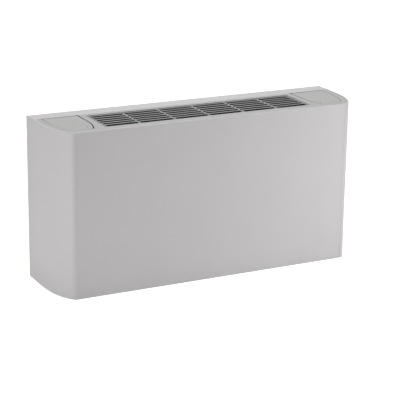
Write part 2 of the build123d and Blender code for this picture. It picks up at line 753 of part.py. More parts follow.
def switch_housing():
    """Housing of the rocker switch, with a bezel on the well's floor."""
    x, y, z = rocker_pivot()
    across, along = switch_size()
    bottom = z - SWITCH_DEPTH
    bezel_top = z + SWITCH_BEZEL_HEIGHT
    can = block((x - across / 2, x + across / 2), (y - along / 2, y + along / 2), (bottom, bezel_top))
    edge_x = across / 2 + SWITCH_BEZEL_EDGE
    edge_y = along / 2 + SWITCH_BEZEL_EDGE
    bezel = block((x - edge_x, x + edge_x), (y - edge_y, y + edge_y), (z, bezel_top))
    half_cavity = ROCKER_RADIUS + ROCKER_CLEARANCE
    half_length = ROCKER_LENGTH / 2 + ROCKER_CLEARANCE
    cavity_y = (y - half_length, y + half_length)
    cavity = rod(half_cavity, (x, cavity_y[0], z), (x, cavity_y[1], z))
    mouth = block((x - half_cavity, x + half_cavity), cavity_y, (z, bezel_top + OVERCUT))
    pin_reach = ROCKER_LENGTH / 2 + ROCKER_PIN_LENGTH + RUNNING_CLEARANCE
    bore = rod(ROCKER_PIN_RADIUS + RUNNING_CLEARANCE, (x, y - pin_reach, z), (x, y + pin_reach, z))
    return can + bezel - cavity - mouth - bore


def power_lamp():
    """Small domed pilot lamp in the well's floor."""
    x, y = lamp_place()
    barrel = rod_z(LAMP_RADIUS, x, y, (WELL_FLOOR - 2 * WELL_WALL, WELL_FLOOR + LAMP_DOME))
    return fillet(barrel.edges().group_by(Axis.Z)[-1], LAMP_DOME / 2)


def strip_line():
    """Y of the joint between the top cover and the rear strip, along the rear of the flap openings."""
    return FLAP_BACK + hinge_gap()


def squared_rear(solid, rear):
    """A flap-shaped solid whose rear corners are square, out to y = rear."""
    low, high = solid.bounding_box().min, solid.bounding_box().max
    return solid + block((low.X, high.X), (HINGE_Y, rear), (low.Z, high.Z))


def top_plan(y_range):
    """The part of the top inside the cabinet's rim that lies between two Y values, as a flat plate."""
    half = half_prism(SHELL + COVER_FIT, BACK, (COVER_UNDER, COVER_TOP))
    return (half + mirrored(half)) & block((-WIDTH, WIDTH), y_range, (0, HEIGHT))


def rear_strip():
    """Painted strip along the rear of the top, with a stiffening flange between the wells."""
    front = strip_line() + SHEET_GAP
    half = CHEEK_FROM_CENTRE - SHEET_GAP
    flange = block((-half, half), (front, front + SHEET), (COVER_UNDER - REAR_STRIP_FLANGE, COVER_UNDER))
    return top_plan((front, BACK)) + flange


def top_cover():
    """Flat cover inside the cabinet's rim, with the outlet, its skirt and ledges, and the flap openings."""
    plate = top_plan((FRONT, strip_line()))
    opening = (COVER_UNDER - OVERCUT, COVER_TOP + OVERCUT)
    hole = squared_rear(flap_prism(FLAP_GAP, hinge_gap(), FLAP_CORNER, opening), strip_line() + OVERCUT)
    ledge_under = GRILLE_UNDER - OUTLET_SKIRT
    skirt = outlet_prism(OUTLET_SKIRT, (ledge_under, COVER_UNDER))
    outlet = outlet_prism(0, (ledge_under - OVERCUT, COVER_TOP + OVERCUT))
    cover = plate + skirt - hole - mirrored(hole) - outlet
    outlet_half = OUTLET_WIDTH / 2
    for span in (
        (-outlet_half - OVERCUT, GRILLE_LEDGE - outlet_half),
        (outlet_half - GRILLE_LEDGE, outlet_half + OVERCUT),
    ):
        cover = cover + block(span, (OUTLET_FRONT, OUTLET_BACK), (ledge_under, GRILLE_UNDER))
    return cover - grille_screw_holes()


def grille_screw_places():
    """X and Y of the four screws through the grille's end bars."""
    x = OUTLET_WIDTH / 2 - GRILLE_FIT - GRILLE_END_BAR / 2
    rows = (OUTLET_FRONT + GRILLE_SCREW_INSET, OUTLET_BACK - GRILLE_SCREW_INSET)
    return [(side * x, y) for side in (-1, 1) for y in rows]


def grille_screw_holes():
    """Clearance holes for the grille's screws."""
    radius = SCREW_RADIUS + SCREW_HOLE_CLEARANCE
    z_range = (GRILLE_UNDER - OUTLET_SKIRT - OVERCUT, GRILLE_TOP + OVERCUT)
    return [rod_z(radius, x, y, z_range) for x, y in grille_screw_places()]


def grille_screws():
    """Pan-head screws through the grille's end bars into the cover's ledges."""
    screws = []
    for x, y in grille_screw_places():
        shoulder = GRILLE_TOP - RIB_DROP
        head = rod_z(SCREW_HEAD_RADIUS, x, y, (shoulder, shoulder + SCREW_HEAD_HEIGHT))
        shank = rod_z(SCREW_RADIUS, x, y, (GRILLE_UNDER - OUTLET_SKIRT, shoulder))
        screws.append(head + shank)
    return Compound(children=screws)


def grille_blade(y):
    """One blade of the grille: an upright bar with a round top."""
    half = OUTLET_WIDTH / 2 - GRILLE_FIT - GRILLE_END_BAR + BLADE_ROOT
    radius = BLADE_WIDTH / 2
    bar = block((-half, half), (y, y + BLADE_WIDTH), (GRILLE_UNDER, GRILLE_TOP - radius))
    return bar + rod_x(radius, (-half, half), y + radius, GRILLE_TOP - radius)


def outlet_grille():
    """Removable grille: long blades carried by cross ribs and two end bars."""
    front = OUTLET_FRONT + GRILLE_FIT
    back = OUTLET_BACK - GRILLE_FIT
    half = OUTLET_WIDTH / 2 - GRILLE_FIT
    bar_top = GRILLE_TOP - RIB_DROP
    between_bars = half - GRILLE_END_BAR
    grille = outlet_prism(-GRILLE_FIT, (GRILLE_UNDER, bar_top))
    grille = grille - block((-between_bars, between_bars), (FRONT, BACK), (0, HEIGHT))
    pitch = OUTLET_WIDTH / (RIB_COUNT + 1)
    for index in range(RIB_COUNT):
        x = pitch * (index + 1) - OUTLET_WIDTH / 2
        span = (x - RIB_WIDTH / 2, x + RIB_WIDTH / 2)
        grille = grille + block(span, (front, back), (GRILLE_UNDER, bar_top))
    first = OUTLET_FRONT + BLADE_FRONT_GAP
    last = OUTLET_BACK - BLADE_REAR_GAP - BLADE_WIDTH
    step = (last - first) / (BLADE_COUNT - 1)
    for index in range(BLADE_COUNT):
        grille = grille + grille_blade(first + step * index)
    return grille - grille_screw_holes()


def fan_deck():
    """Shelf between the cheeks, with an opening over each scroll's outlet."""
    half = CHEEK_FROM_CENTRE
    deck = block(
        (-half, half),
        (INSULATION_BACK, INNER_BACK),
        (FAN_DECK_HEIGHT, FAN_DECK_HEIGHT + SHEET),
    )
    front, rear = scroll_outlet()
    for side in (-1, 1):
        x = side * WHEEL_FROM_CENTRE
        span = (x - SCROLL_WIDTH / 2 + SHEET, x + SCROLL_WIDTH / 2 - SHEET)
        deck = deck - block(span, (front + SHEET, rear - SHEET), (0, HEIGHT))
    return deck


def duct_wall(face_y, side):
    """One long wall of the outlet duct, from the deck up past the cover's skirt, foot turned outward."""
    half = CHEEK_FROM_CENTRE - SHEET_GAP
    low = FAN_DECK_HEIGHT + SHEET
    outer_y = face_y + side * SHEET
    foot_y = face_y + side * DUCT_FLANGE
    wall = block(
        (-half, half),
        sorted((face_y, outer_y)),
        (low, GRILLE_UNDER - OUTLET_SKIRT + DUCT_COVER_OVERLAP),
    )
    return wall + block((-half, half), sorted((face_y, foot_y)), (low, low + SHEET))


def scroll_point(angle, inset):
    """A point of the scroll in its own plane, at an angle swept from the tongue."""
    sweep = 2 * math.pi - math.radians(SCROLL_TONGUE_ANGLE)
    radius = SCROLL_START_RADIUS + (SCROLL_END_RADIUS - SCROLL_START_RADIUS) * angle / sweep - inset
    direction = math.radians(SCROLL_TONGUE_ANGLE) + angle
    return FAN_Y - radius * math.cos(direction), FAN_HEIGHT + radius * math.sin(direction)


def scroll_outlet():
    """Front and rear Y of the scroll's outlet."""
    return FAN_Y - SCROLL_END_RADIUS, scroll_point(0, 0)[0]


def scroll_prism(inset, top, x_range):
    """The scroll's outline, inset, up to the height top, as a solid between two X values."""
    sweep = 2 * math.pi - math.radians(SCROLL_TONGUE_ANGLE)
    step = sweep / SCROLL_ARCS
    path = []
    for index in range(SCROLL_ARCS):
        turns = (index * step, (index + 0.5) * step, (index + 1) * step)
        path.append(ThreePointArc(*[scroll_point(turn, inset) for turn in turns]))
    tongue = path[0] @ 0
    wall = path[-1] @ 1
    path.append(Polyline(wall, (wall.X, top), (tongue.X - 2 * inset, top), tongue))
    face = Plane.YZ * make_face(path)
    return Pos(x_range[0], 0, 0) * extrude(face, amount=x_range[1] - x_range[0], dir=(1, 0, 0))


def scroll_housing():
    """Sheet-metal scroll with a round inlet on each side, open at the top."""
    x_range = (WHEEL_FROM_CENTRE - SCROLL_WIDTH / 2, WHEEL_FROM_CENTRE + SCROLL_WIDTH / 2)
    outer = scroll_prism(0, FAN_DECK_HEIGHT, x_range)
    inner = scroll_prism(SHEET, FAN_DECK_HEIGHT + OVERCUT, (x_range[0] + SHEET, x_range[1] - SHEET))
    inlet = rod_x(SCROLL_INLET_RADIUS, (x_range[0] - OVERCUT, x_range[1] + OVERCUT), FAN_Y, FAN_HEIGHT)
    return outer - inner - inlet


def wheel_blade():
    """One forward-curved blade in the wheel's plane, as a thin bent strip."""
    root = WHEEL_RADIUS - BLADE_CHORD
    lean = math.radians(BLADE_LEAN) * BLADE_CHORD / WHEEL_RADIUS
    middle = root + BLADE_CHORD / 2
    outer_radius = WHEEL_RADIUS - BLADE_THICKNESS
    outer_edge = outer_radius * math.cos(lean), outer_radius * math.sin(lean)
    middle_edge = (middle, BLADE_CHORD * math.sin(lean) / 2 - BLADE_THICKNESS)
    arc = ThreePointArc((root, 0), middle_edge, outer_edge)
    return trace(arc, BLADE_THICKNESS)


def right_fan_wheel():
    """Drum wheel: two end rings, a centre disc with a hub, and forward-curved blades."""
    low = -WHEEL_WIDTH / 2
    strips = extrude(wheel_blade(), amount=WHEEL_WIDTH, dir=(0, 0, 1))
    blades = [
        Rot(0, 0, index * 360 / WHEEL_BLADES) * Pos(0, 0, low) * strips
        for index in range(WHEEL_BLADES)
    ]
    ring_face = Circle(WHEEL_RADIUS) - Circle(WHEEL_RADIUS - BLADE_CHORD - RIB_DROP)
    ring = extrude(ring_face, amount=WHEEL_RING_THICKNESS, dir=(0, 0, 1))
    rings = [Pos(0, 0, low) * ring, Pos(0, 0, -low - WHEEL_RING_THICKNESS) * ring]
    half_disc = WHEEL_DISC_THICKNESS / 2
    half_hub = WHEEL_HUB_LENGTH / 2
    disc = rod_z(WHEEL_RADIUS - RIB_DROP, 0, 0, (-half_disc, half_disc))
    hub = rod_z(WHEEL_HUB_RADIUS, 0, 0, (-half_hub, half_hub))
    bore = rod_z(SHAFT_RADIUS + PIN_SEAT_CLEARANCE, 0, 0, (-half_hub - OVERCUT, half_hub + OVERCUT))
    wheel = disc + hub + rings + blades - bore
    return Pos(WHEEL_FROM_CENTRE, FAN_Y, FAN_HEIGHT) * Rot(0, 90, 0) * wheel


def shaft_half_length():
    """Half the fan shaft's length, from the motor's middle past a wheel's hub."""
    return WHEEL_FROM_CENTRE + WHEEL_HUB_LENGTH / 2 + SHAFT_OVERHANG


def fan_shaft():
    """Double-ended motor shaft that carries both wheels."""
    half = shaft_half_length()
    return rod_x(SHAFT_RADIUS, (-half, half), FAN_Y, FAN_HEIGHT)


def rotor_radius():
    """Radius of the motor's rotor inside its stator."""
    return MOTOR_RADIUS - MOTOR_WALL - STATOR_THICKNESS - ROTOR_AIR_GAP


def motor_rotor():
    """Laminated rotor on the shaft."""
    half = STATOR_LENGTH / 2
    core = rod_x(rotor_radius(), (-half, half), FAN_Y, FAN_HEIGHT)
    return core - rod_x(
        SHAFT_RADIUS + PIN_SEAT_CLEARANCE,
        (-half - OVERCUT, half + OVERCUT),
        FAN_Y,
        FAN_HEIGHT,
    )


def motor_stator():
    """Wound stator ring inside the motor's case."""
    half = STATOR_LENGTH / 2
    outside = MOTOR_RADIUS - MOTOR_WALL
    ring = rod_x(outside, (-half, half), FAN_Y, FAN_HEIGHT)
    return ring - rod_x(outside - STATOR_THICKNESS, (-half - OVERCUT, half + OVERCUT), FAN_Y, FAN_HEIGHT)


def motor_case():
    """Round motor case with end walls and a seat for each bearing."""
    half = MOTOR_LENGTH / 2
    case = rod_x(MOTOR_RADIUS, (-half, half), FAN_Y, FAN_HEIGHT)
    hollow = half - BEARING_LENGTH
    case = case - rod_x(MOTOR_RADIUS - MOTOR_WALL, (-hollow, hollow), FAN_Y, FAN_HEIGHT)
    return case - rod_x(BEARING_RADIUS, (-half - OVERCUT, half + OVERCUT), FAN_Y, FAN_HEIGHT)


def motor_bearings():
    """Plain bearings in the motor's end walls, in which the shaft runs."""
    half = MOTOR_LENGTH / 2
    rings = []
    for side in (-1, 1):
        span = sorted((side * half, side * (half - BEARING_LENGTH)))
        ring = rod_x(BEARING_RADIUS, span, FAN_Y, FAN_HEIGHT)
        bore = rod_x(SHAFT_RADIUS + RUNNING_CLEARANCE, (-half - OVERCUT, half + OVERCUT), FAN_Y, FAN_HEIGHT)
        rings.append(ring - bore)
    return Compound(children=rings)


def motor_bracket():
    """Sheet bracket hung from the deck, with a ring round each end of the motor."""
    edge = MOTOR_RADIUS + MOTOR_BRACKET_EDGE
    half = MOTOR_BRACKET_SHEET / 2
    y_range = (FAN_Y - edge, FAN_Y + edge)
    reach = MOTOR_BRACKET_FROM_CENTRE + half
    bracket = block((-reach, reach), y_range, (FAN_DECK_HEIGHT - MOTOR_BRACKET_SHEET, FAN_DECK_HEIGHT))
    for side in (-1, 1):
        x = side * MOTOR_BRACKET_FROM_CENTRE
        plate = block((x - half, x + half), y_range, (FAN_HEIGHT, FAN_DECK_HEIGHT))
        plate = plate + rod_x(edge, (x - half, x + half), FAN_Y, FAN_HEIGHT)
        bracket = bracket + plate
    return bracket - rod_x(
        MOTOR_RADIUS + PIN_SEAT_CLEARANCE,
        (-reach - OVERCUT, reach + OVERCUT),
        FAN_Y,
        FAN_HEIGHT,
    )


def heating_element(y):
    """Sheathed element with round fins along its length and a terminal stud at each end."""
    half = ELEMENT_FINNED_LENGTH / 2
    fin_count = int(ELEMENT_FINNED_LENGTH // ELEMENT_FIN_PITCH)
    first = -ELEMENT_FIN_PITCH * (fin_count - 1) / 2
    points = [(-half, 0), (-half, ELEMENT_RADIUS)]
    for index in range(fin_count):
        left = first + index * ELEMENT_FIN_PITCH - ELEMENT_FIN_THICKNESS / 2
        right = left + ELEMENT_FIN_THICKNESS
        points += [(left, ELEMENT_RADIUS), (left, ELEMENT_FIN_RADIUS)]
        points += [(right, ELEMENT_FIN_RADIUS), (right, ELEMENT_RADIUS)]
    points += [(half, ELEMENT_RADIUS), (half, 0)]
    profile = make_face(Polyline(*points, close=True))
    finned = Pos(0, y, ELEMENT_HEIGHT) * revolve(profile, Axis.X)
    end = CHEEK_FROM_CENTRE + SHEET + ELEMENT_END_LENGTH
    tube = rod_x(ELEMENT_RADIUS, (-end, end), y, ELEMENT_HEIGHT)
    stud_end = end + ELEMENT_STUD_LENGTH
    return finned + tube + rod_x(ELEMENT_STUD_RADIUS, (-stud_end, stud_end), y, ELEMENT_HEIGHT)


def element_insulators():
    """Ceramic bushes that seat the element ends in the cheeks."""
    bushes = []
    inner_radius = ELEMENT_RADIUS + PIN_SEAT_CLEARANCE
    for y in element_places():
        start = CHEEK_FROM_CENTRE - INSULATOR_LIP_THICKNESS
        lip = rod_x(
            inner_radius + INSULATOR_WALL + INSULATOR_LIP,
            (start, CHEEK_FROM_CENTRE),
            y,
            ELEMENT_HEIGHT,
        )
        end = CHEEK_FROM_CENTRE + SHEET + INSULATOR_LIP_THICKNESS
        neck = rod_x(inner_radius + INSULATOR_WALL, (CHEEK_FROM_CENTRE, end), y, ELEMENT_HEIGHT)
        bush = lip + neck - rod_x(inner_radius, (start - OVERCUT, end + OVERCUT), y, ELEMENT_HEIGHT)
        bushes += [bush, mirrored(bush)]
    return Compound(children=bushes)


def terminal_block():
    """Row of screw terminals on the right cheek, for the supply and the elements."""
    x = CHEEK_FROM_CENTRE + SHEET
    length = TERMINAL_COUNT * TERMINAL_PITCH
    middle = FRONT + ELECTRICS_FROM_FRONT
    y_range = (middle - length / 2, middle + length / 2)
    high = TERMINAL_BASE_HEIGHT + TERMINAL_HEIGHT
    body = block((x, x + TERMINAL_DEPTH), y_range, (TERMINAL_BASE_HEIGHT, high))
    for index in range(TERMINAL_COUNT):
        y = y_range[0] + TERMINAL_PITCH * (index + 0.5)
        z = TERMINAL_BASE_HEIGHT + TERMINAL_HEIGHT / 2
        face = x + TERMINAL_DEPTH
        body = body - rod_x(TERMINAL_SCREW_RADIUS, (face - TERMINAL_SCREW_DEPTH, face + OVERCUT), y, z)
    return body


def power_relay():
    """Relay that switches the elements, on the right cheek above the terminals."""
    x = CHEEK_FROM_CENTRE + SHEET
    middle = FRONT + ELECTRICS_FROM_FRONT
    y_range = (middle - RELAY_DEPTH / 2, middle + RELAY_DEPTH / 2)
    return block((x, x + RELAY_WIDTH), y_range, (RELAY_BASE_HEIGHT, RELAY_BASE_HEIGHT + RELAY_HEIGHT))


def inlet_span():
    """Y range between the front panel's base flange and the back plate."""
    return FRONT + PANEL_FLANGE, INNER_BACK


def inlet_frame():
    """Flat frame between the cheeks that the filter seats against."""
    front, rear = inlet_span()
    half = CHEEK_FROM_CENTRE - SHEET_GAP
    low = CHEEK_FOOT_HEIGHT - SHEET
    z_range = (low, low + INLET_FRAME_THICKNESS)
    plate = block((-half - SHEET_GAP, half + SHEET_GAP), (INSULATION_BACK, rear), z_range)
    edge = INLET_FRAME_EDGE
    window = block((edge - half, half - edge), (front + edge, rear - edge), (0, HEIGHT))
    return plate - window


def filter_span():
    """Y range of the filter."""
    front, rear = inlet_span()
    return front + FILTER_EDGE_GAP, rear - FILTER_EDGE_GAP


def filter_heights():
    """Z range of the filter's frame, just below the inlet frame."""
    top = CHEEK_FOOT_HEIGHT - SHEET - FILTER_SEAT_GAP
    return top - FILTER_THICKNESS, top


def filter_frame():
    """Moulded filter frame with cross bars and a finger tab at the front."""
    half = FILTER_WIDTH / 2
    y_range = filter_span()
    z_range = filter_heights()
    frame = block((-half, half), y_range, z_range)
    clear = (FILTER_WIDTH - (FILTER_BARS + 2) * FILTER_FRAME) / (FILTER_BARS + 1)
    for index in range(FILTER_BARS + 1):
        left = FILTER_FRAME - half + index * (clear + FILTER_FRAME)
        window_y = (y_range[0] + FILTER_FRAME, y_range[1] - FILTER_FRAME)
        frame = frame - block((left, left + clear), window_y, (0, HEIGHT))
    tab_y = (y_range[0], y_range[0] + FILTER_TAB_DEPTH)
    tab = block((-FILTER_TAB_WIDTH / 2, FILTER_TAB_WIDTH / 2), tab_y, (z_range[0] - FILTER_FRAME, z_range[0]))
    return frame + tab


def filter_meshes():
    """Filter medium, one sheet in each window of the frame."""
    half = FILTER_WIDTH / 2
    y_range = filter_span()
    low = filter_heights()[0]
    middle = low + FILTER_THICKNESS / 2
    clear = (FILTER_WIDTH - (FILTER_BARS + 2) * FILTER_FRAME) / (FILTER_BARS + 1)
    sheets = []
    for index in range(FILTER_BARS + 1):
        left = FILTER_FRAME - half + index * (clear + FILTER_FRAME)
        window_y = (y_range[0] + FILTER_FRAME, y_range[1] - FILTER_FRAME)
        sheets.append(block((left, left + clear), window_y, (middle, middle + FILTER_MESH_THICKNESS)))
    return Compound(children=sheets)


def filter_clips():
    """Four bent leaf springs on the cheeks, which grip the filter frame's ends."""
    face = CHEEK_FROM_CENTRE
    finger = FILTER_WIDTH / 2 + CATCH_FIT
    top = CHEEK_FOOT_HEIGHT - SHEET - SHEET_GAP
    low = top - FILTER_CLIP_RISE
    middle = (FRONT + PANEL_FLANGE + INNER_BACK) / 2
    clips = []
    for row in (-1, 1):
        y = middle + row * FILTER_CLIP_SPACING / 2
        width = (y - FILTER_CLIP_WIDTH / 2, y + FILTER_CLIP_WIDTH / 2)
        back = block((face, face + FILTER_CLIP_SHEET), width, (low, top + SHEET_GAP))
        arm = block((finger, face + FILTER_CLIP_SHEET), width, (low, low + FILTER_CLIP_SHEET))
        tongue = block((finger, finger + FILTER_CLIP_SHEET), width, (low, top))
        clip = back + arm + tongue
        clips += [clip, mirrored(clip)]
    return Compound(children=clips)


def build():
    """Every piece by name."""
    thermostat, speed, _ = control_places()
    pieces = {
        "front_panel": front_panel(),
        "front_insulation": front_pad(),
        "back_plate": back_plate(),
        "left_cheek": mirrored(cheek()),
        "right_cheek": right_cheek(),
        "top_cover": top_cover(),
        "rear_strip": rear_strip(),
        "outlet_grille": outlet_grille(),
        "grille_screws": grille_screws(),
        "control_well": control_well(),
        "service_well": service_well(),
        "thermostat_knob": knob(thermostat, THERMOSTAT_KNOB_RADIUS),
        "speed_knob": knob(speed, SPEED_KNOB_RADIUS),
        "thermostat_body": control_body(thermostat),
        "speed_selector": control_body(speed),
        "power_rocker": power_rocker(),
        "switch_housing": switch_housing(),
        "power_lamp": power_lamp(),
        "reset_button": reset_button(),
        "overheat_cutout": overheat_cutout(),
        "fan_deck": fan_deck(),
        "duct_front_wall": duct_wall(OUTLET_FRONT - OUTLET_SKIRT, -1),
        "duct_rear_wall": duct_wall(OUTLET_BACK + OUTLET_SKIRT, 1),
        "fan_shaft": fan_shaft(),
        "motor_rotor": motor_rotor(),
        "motor_stator": motor_stator(),
        "motor_case": motor_case(),
        "motor_bearings": motor_bearings(),
        "motor_bracket": motor_bracket(),
        "element_insulators": element_insulators(),
        "terminal_block": terminal_block(),
        "power_relay": power_relay(),
        "cable_gland": cable_gland(),
        "inlet_frame": inlet_frame(),
        "filter_frame": filter_frame(),
        "filter_meshes": filter_meshes(),
        "filter_clips": filter_clips(),
    }
    for index, y in enumerate(element_places()):
        pieces[f"heating_element_{index + 1}"] = heating_element(y)
    paired = {
        "side_panel": right_side_panel(),
        "side_panel_screws": right_panel_screws(),
        "flap": right_flap(),
        "flap_pins": right_flap_pins(),
        "flap_stud": right_flap_stud(),
        "catch_clip": right_catch_clip(),
        "fan_scroll": scroll_housing(),
        "fan_wheel": right_fan_wheel(),
    }
    for name, part in paired.items():
        pieces["right_" + name] = part
        pieces["left_" + name] = mirrored(part)
    return pieces


if __name__ == "__main__":
    os.makedirs("parts", exist_ok=True)
    for piece_name, piece in build().items():
        save(piece_name, piece)
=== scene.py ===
"""Looks of a fan convector heater: bowed cabinet, top outlet grille, two end flaps over the controls."""

import json
import logging
import math
from dataclasses import dataclass, field, replace
from enum import Enum

import bpy
import numpy as np
from mathutils import Matrix, Vector
from mathutils.geometry import tessellate_polygon

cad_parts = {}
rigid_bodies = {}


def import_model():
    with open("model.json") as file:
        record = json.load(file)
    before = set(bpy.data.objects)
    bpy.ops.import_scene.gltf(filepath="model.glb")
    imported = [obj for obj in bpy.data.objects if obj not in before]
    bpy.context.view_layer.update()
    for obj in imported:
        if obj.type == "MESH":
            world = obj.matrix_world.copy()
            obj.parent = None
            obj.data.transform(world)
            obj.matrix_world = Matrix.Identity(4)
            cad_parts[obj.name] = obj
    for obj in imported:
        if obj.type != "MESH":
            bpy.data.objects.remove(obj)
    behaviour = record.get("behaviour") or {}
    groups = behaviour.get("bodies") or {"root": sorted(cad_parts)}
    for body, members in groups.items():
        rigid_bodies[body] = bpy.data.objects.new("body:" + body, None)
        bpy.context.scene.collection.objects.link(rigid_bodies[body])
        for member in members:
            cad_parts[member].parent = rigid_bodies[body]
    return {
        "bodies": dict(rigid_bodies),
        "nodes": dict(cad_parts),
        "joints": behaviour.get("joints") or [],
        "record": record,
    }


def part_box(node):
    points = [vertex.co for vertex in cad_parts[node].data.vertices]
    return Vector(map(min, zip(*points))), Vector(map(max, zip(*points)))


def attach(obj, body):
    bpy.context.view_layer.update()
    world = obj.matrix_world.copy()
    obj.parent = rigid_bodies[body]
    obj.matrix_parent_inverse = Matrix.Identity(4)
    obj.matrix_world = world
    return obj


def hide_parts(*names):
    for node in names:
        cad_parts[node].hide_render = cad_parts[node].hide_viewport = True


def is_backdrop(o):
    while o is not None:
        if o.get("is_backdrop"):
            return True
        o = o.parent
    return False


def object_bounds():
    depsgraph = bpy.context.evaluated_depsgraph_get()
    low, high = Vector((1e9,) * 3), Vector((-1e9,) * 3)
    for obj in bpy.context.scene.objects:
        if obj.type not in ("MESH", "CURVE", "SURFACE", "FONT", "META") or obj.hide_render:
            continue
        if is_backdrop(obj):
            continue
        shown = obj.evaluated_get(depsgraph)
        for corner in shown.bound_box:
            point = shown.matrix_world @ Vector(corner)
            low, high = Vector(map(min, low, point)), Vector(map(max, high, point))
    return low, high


LOG = logging.getLogger("heater")
MM = 0.001
GUARD = 0.35 * MM
SMOOTH_ANGLE = math.radians(40)
Shell = tuple[np.ndarray, list]


def arc(centre: tuple[float, float], radius: float, start: float, end: float, count: int) -> np.ndarray:
    """Points of a circular arc: centre plus radius times the cosine and sine of evenly spaced angles.

    Args:
        centre: Centre of the arc.
        radius: Radius of the arc.
        start: First angle in radians.
        end: Last angle in radians.
        count: Number of points.

    Returns:
        An array of count rows with two columns.
    """
    angle = np.linspace(start, end, count)
    return np.column_stack((centre[0] + radius * np.cos(angle), centre[1] + radius * np.sin(angle)))


def rounded_rectangle(low: tuple[float, float], high: tuple[float, float], radius: float, count: int = 7) -> np.ndarray:
    """A counter-clockwise rectangle whose corners are quarter arcs.

    Args:
        low: Lower left corner.
        high: Upper right corner.
        radius: Corner radius.
        count: Points on each corner.

    Returns:
        The closed outline, one point in each row, without a repeated last point.
    """
    quarter = math.pi / 2
    corners = (
        ((high[0] - radius, low[1] + radius), -quarter),
        ((high[0] - radius, high[1] - radius), 0.0),
        ((low[0] + radius, high[1] - radius), quarter),
        ((low[0] + radius, low[1] + radius), 2 * quarter),
    )
    return np.vstack([arc(centre, radius, start, start + quarter, count) for centre, start in corners])


def guarded(loop: np.ndarray, guard: float = GUARD) -> np.ndarray:
    """Adds a point just inside both ends of each long edge, so that shading stays flat between rounded corners.

    Each added point lies on its edge, at the guard distance from the edge's end.

    Args:
        loop: Closed outline, one point in each row.
        guard: Distance of the added points from the corners.

    Returns:
        The outline with the extra points.
    """
    following = np.roll(loop, -1, axis=0)
    span = following - loop
    length = np.linalg.norm(span, axis=1)
    unit = span / length[:, None]
    rows = [loop, loop + unit * guard, following - unit * guard]
    keep = np.column_stack((np.ones(len(loop), bool), length > 3 * guard, length > 3 * guard))
    return np.stack(rows, axis=1)[keep]


def crossed(loop: np.ndarray, level: float) -> np.ndarray:
    """Adds a point wherever the outline crosses a line of constant Y, by linear interpolation along its edge.

    Args:
        loop: Closed outline, one point in each row.
        level: Y of the line.

    Returns:
        The outline with the extra points.
    """
    following = np.roll(loop, -1, axis=0)
    at = np.flatnonzero((loop[:, 1] - level) * (following[:, 1] - level) < 0)
    share = (level - loop[at, 1]) / (following[at, 1] - loop[at, 1])
    return np.insert(loop, at + 1, loop[at] + share[:, None] * (following[at] - loop[at]), axis=0)


def outward(loop: np.ndarray) -> np.ndarray:
    """Unit normals of a counter-clockwise loop: the central difference of its points, turned a quarter clockwise."""
    tangent = np.roll(loop, -1, axis=0) - np.roll(loop, 1, axis=0)
    normal = np.column_stack((tangent[:, 1], -tangent[:, 0]))
    return normal / np.linalg.norm(normal, axis=1)[:, None]


def facing_out(shell: Shell) -> Shell:
    """Turns a closed shell's faces outward when its signed volume is negative.

    The volume is a sixth of the sum of the triple products of each face's fan triangles.
    """
    verts, faces = shell
    volume = 0.0
    for size in {len(face) for face in faces}:
        same = np.array([face for face in faces if len(face) == size])
        for step in range(1, size - 1):
            a, b, c = (verts[same[:, k]] for k in (0, step, step + 1))
            volume += float(np.einsum("ij,ij->", a, np.cross(b, c)))
    if volume < 0:
        faces = [face[::-1] for face in faces]
    return verts, faces


def loft(rings: np.ndarray, closed: bool = False) -> Shell:
    """A closed shell through a row of closed rings; quads join each ring to the next.

    Args:
        rings: Array of rings, points and coordinates.
        closed: Whether the last ring joins the first, and otherwise both ends are capped.

    Returns:
        Vertices and faces, turned outward.
    """
    count, size, _ = rings.shape
    verts = rings.reshape(-1, 3)
    i = np.arange(count if closed else count - 1)[:, None]
    j = np.arange(size)[None, :]
    following, beside = (i + 1) % count, (j + 1) % size
    quads = np.stack((i * size + j, following * size + j, following * size + beside, i * size + beside), axis=-1)
    faces = quads.reshape(-1, 4).tolist()
    if not closed:
        faces.append(list(range(size))[::-1])
        faces.append([(count - 1) * size + k for k in range(size)])
    return facing_out((verts, faces))


def bar(axis: int, span: tuple[float, float], loop: np.ndarray) -> Shell:
    """A straight bar: one closed cross-section moved along an axis.

    Args:
        axis: 0 for X, 1 for Y or 2 for Z.
        span: First and last value on that axis.
        loop: Cross-section in the two other axes, in order.

    Returns:
        The bar's shell.
    """
    rings = np.empty((2, len(loop), 3))
    others = [k for k in range(3) if k != axis]
    rings[:, :, axis] = np.array(span)[:, None]
    rings[:, :, others] = loop
    return loft(rings)


def turned(axis: int, centre: tuple[float, float, float], profile: np.ndarray, count: int = 48) -> Shell:
    """A turned shell: each profile row gives a distance along the axis and a radius about it.

    Args:
        axis: 0 for X, 1 for Y or 2 for Z.
        centre: A point on the axis.
        profile: Rows of distance and radius, with radii above zero.
        count: Points round the axis.

    Returns:
        The turned shell with flat ends.
    """
    angle = np.linspace(0, 2 * math.pi, count, endpoint=False)
    rings = np.empty((len(profile), count, 3))
    others = [k for k in range(3) if k != axis]
    rings[:, :, axis] = centre[axis] + profile[:, 0, None]
    rings[:, :, others[0]] = centre[others[0]] + profile[:, 1, None] * np.cos(angle)
    rings[:, :, others[1]] = centre[others[1]] + profile[:, 1, None] * np.sin(angle)
    return loft(rings)


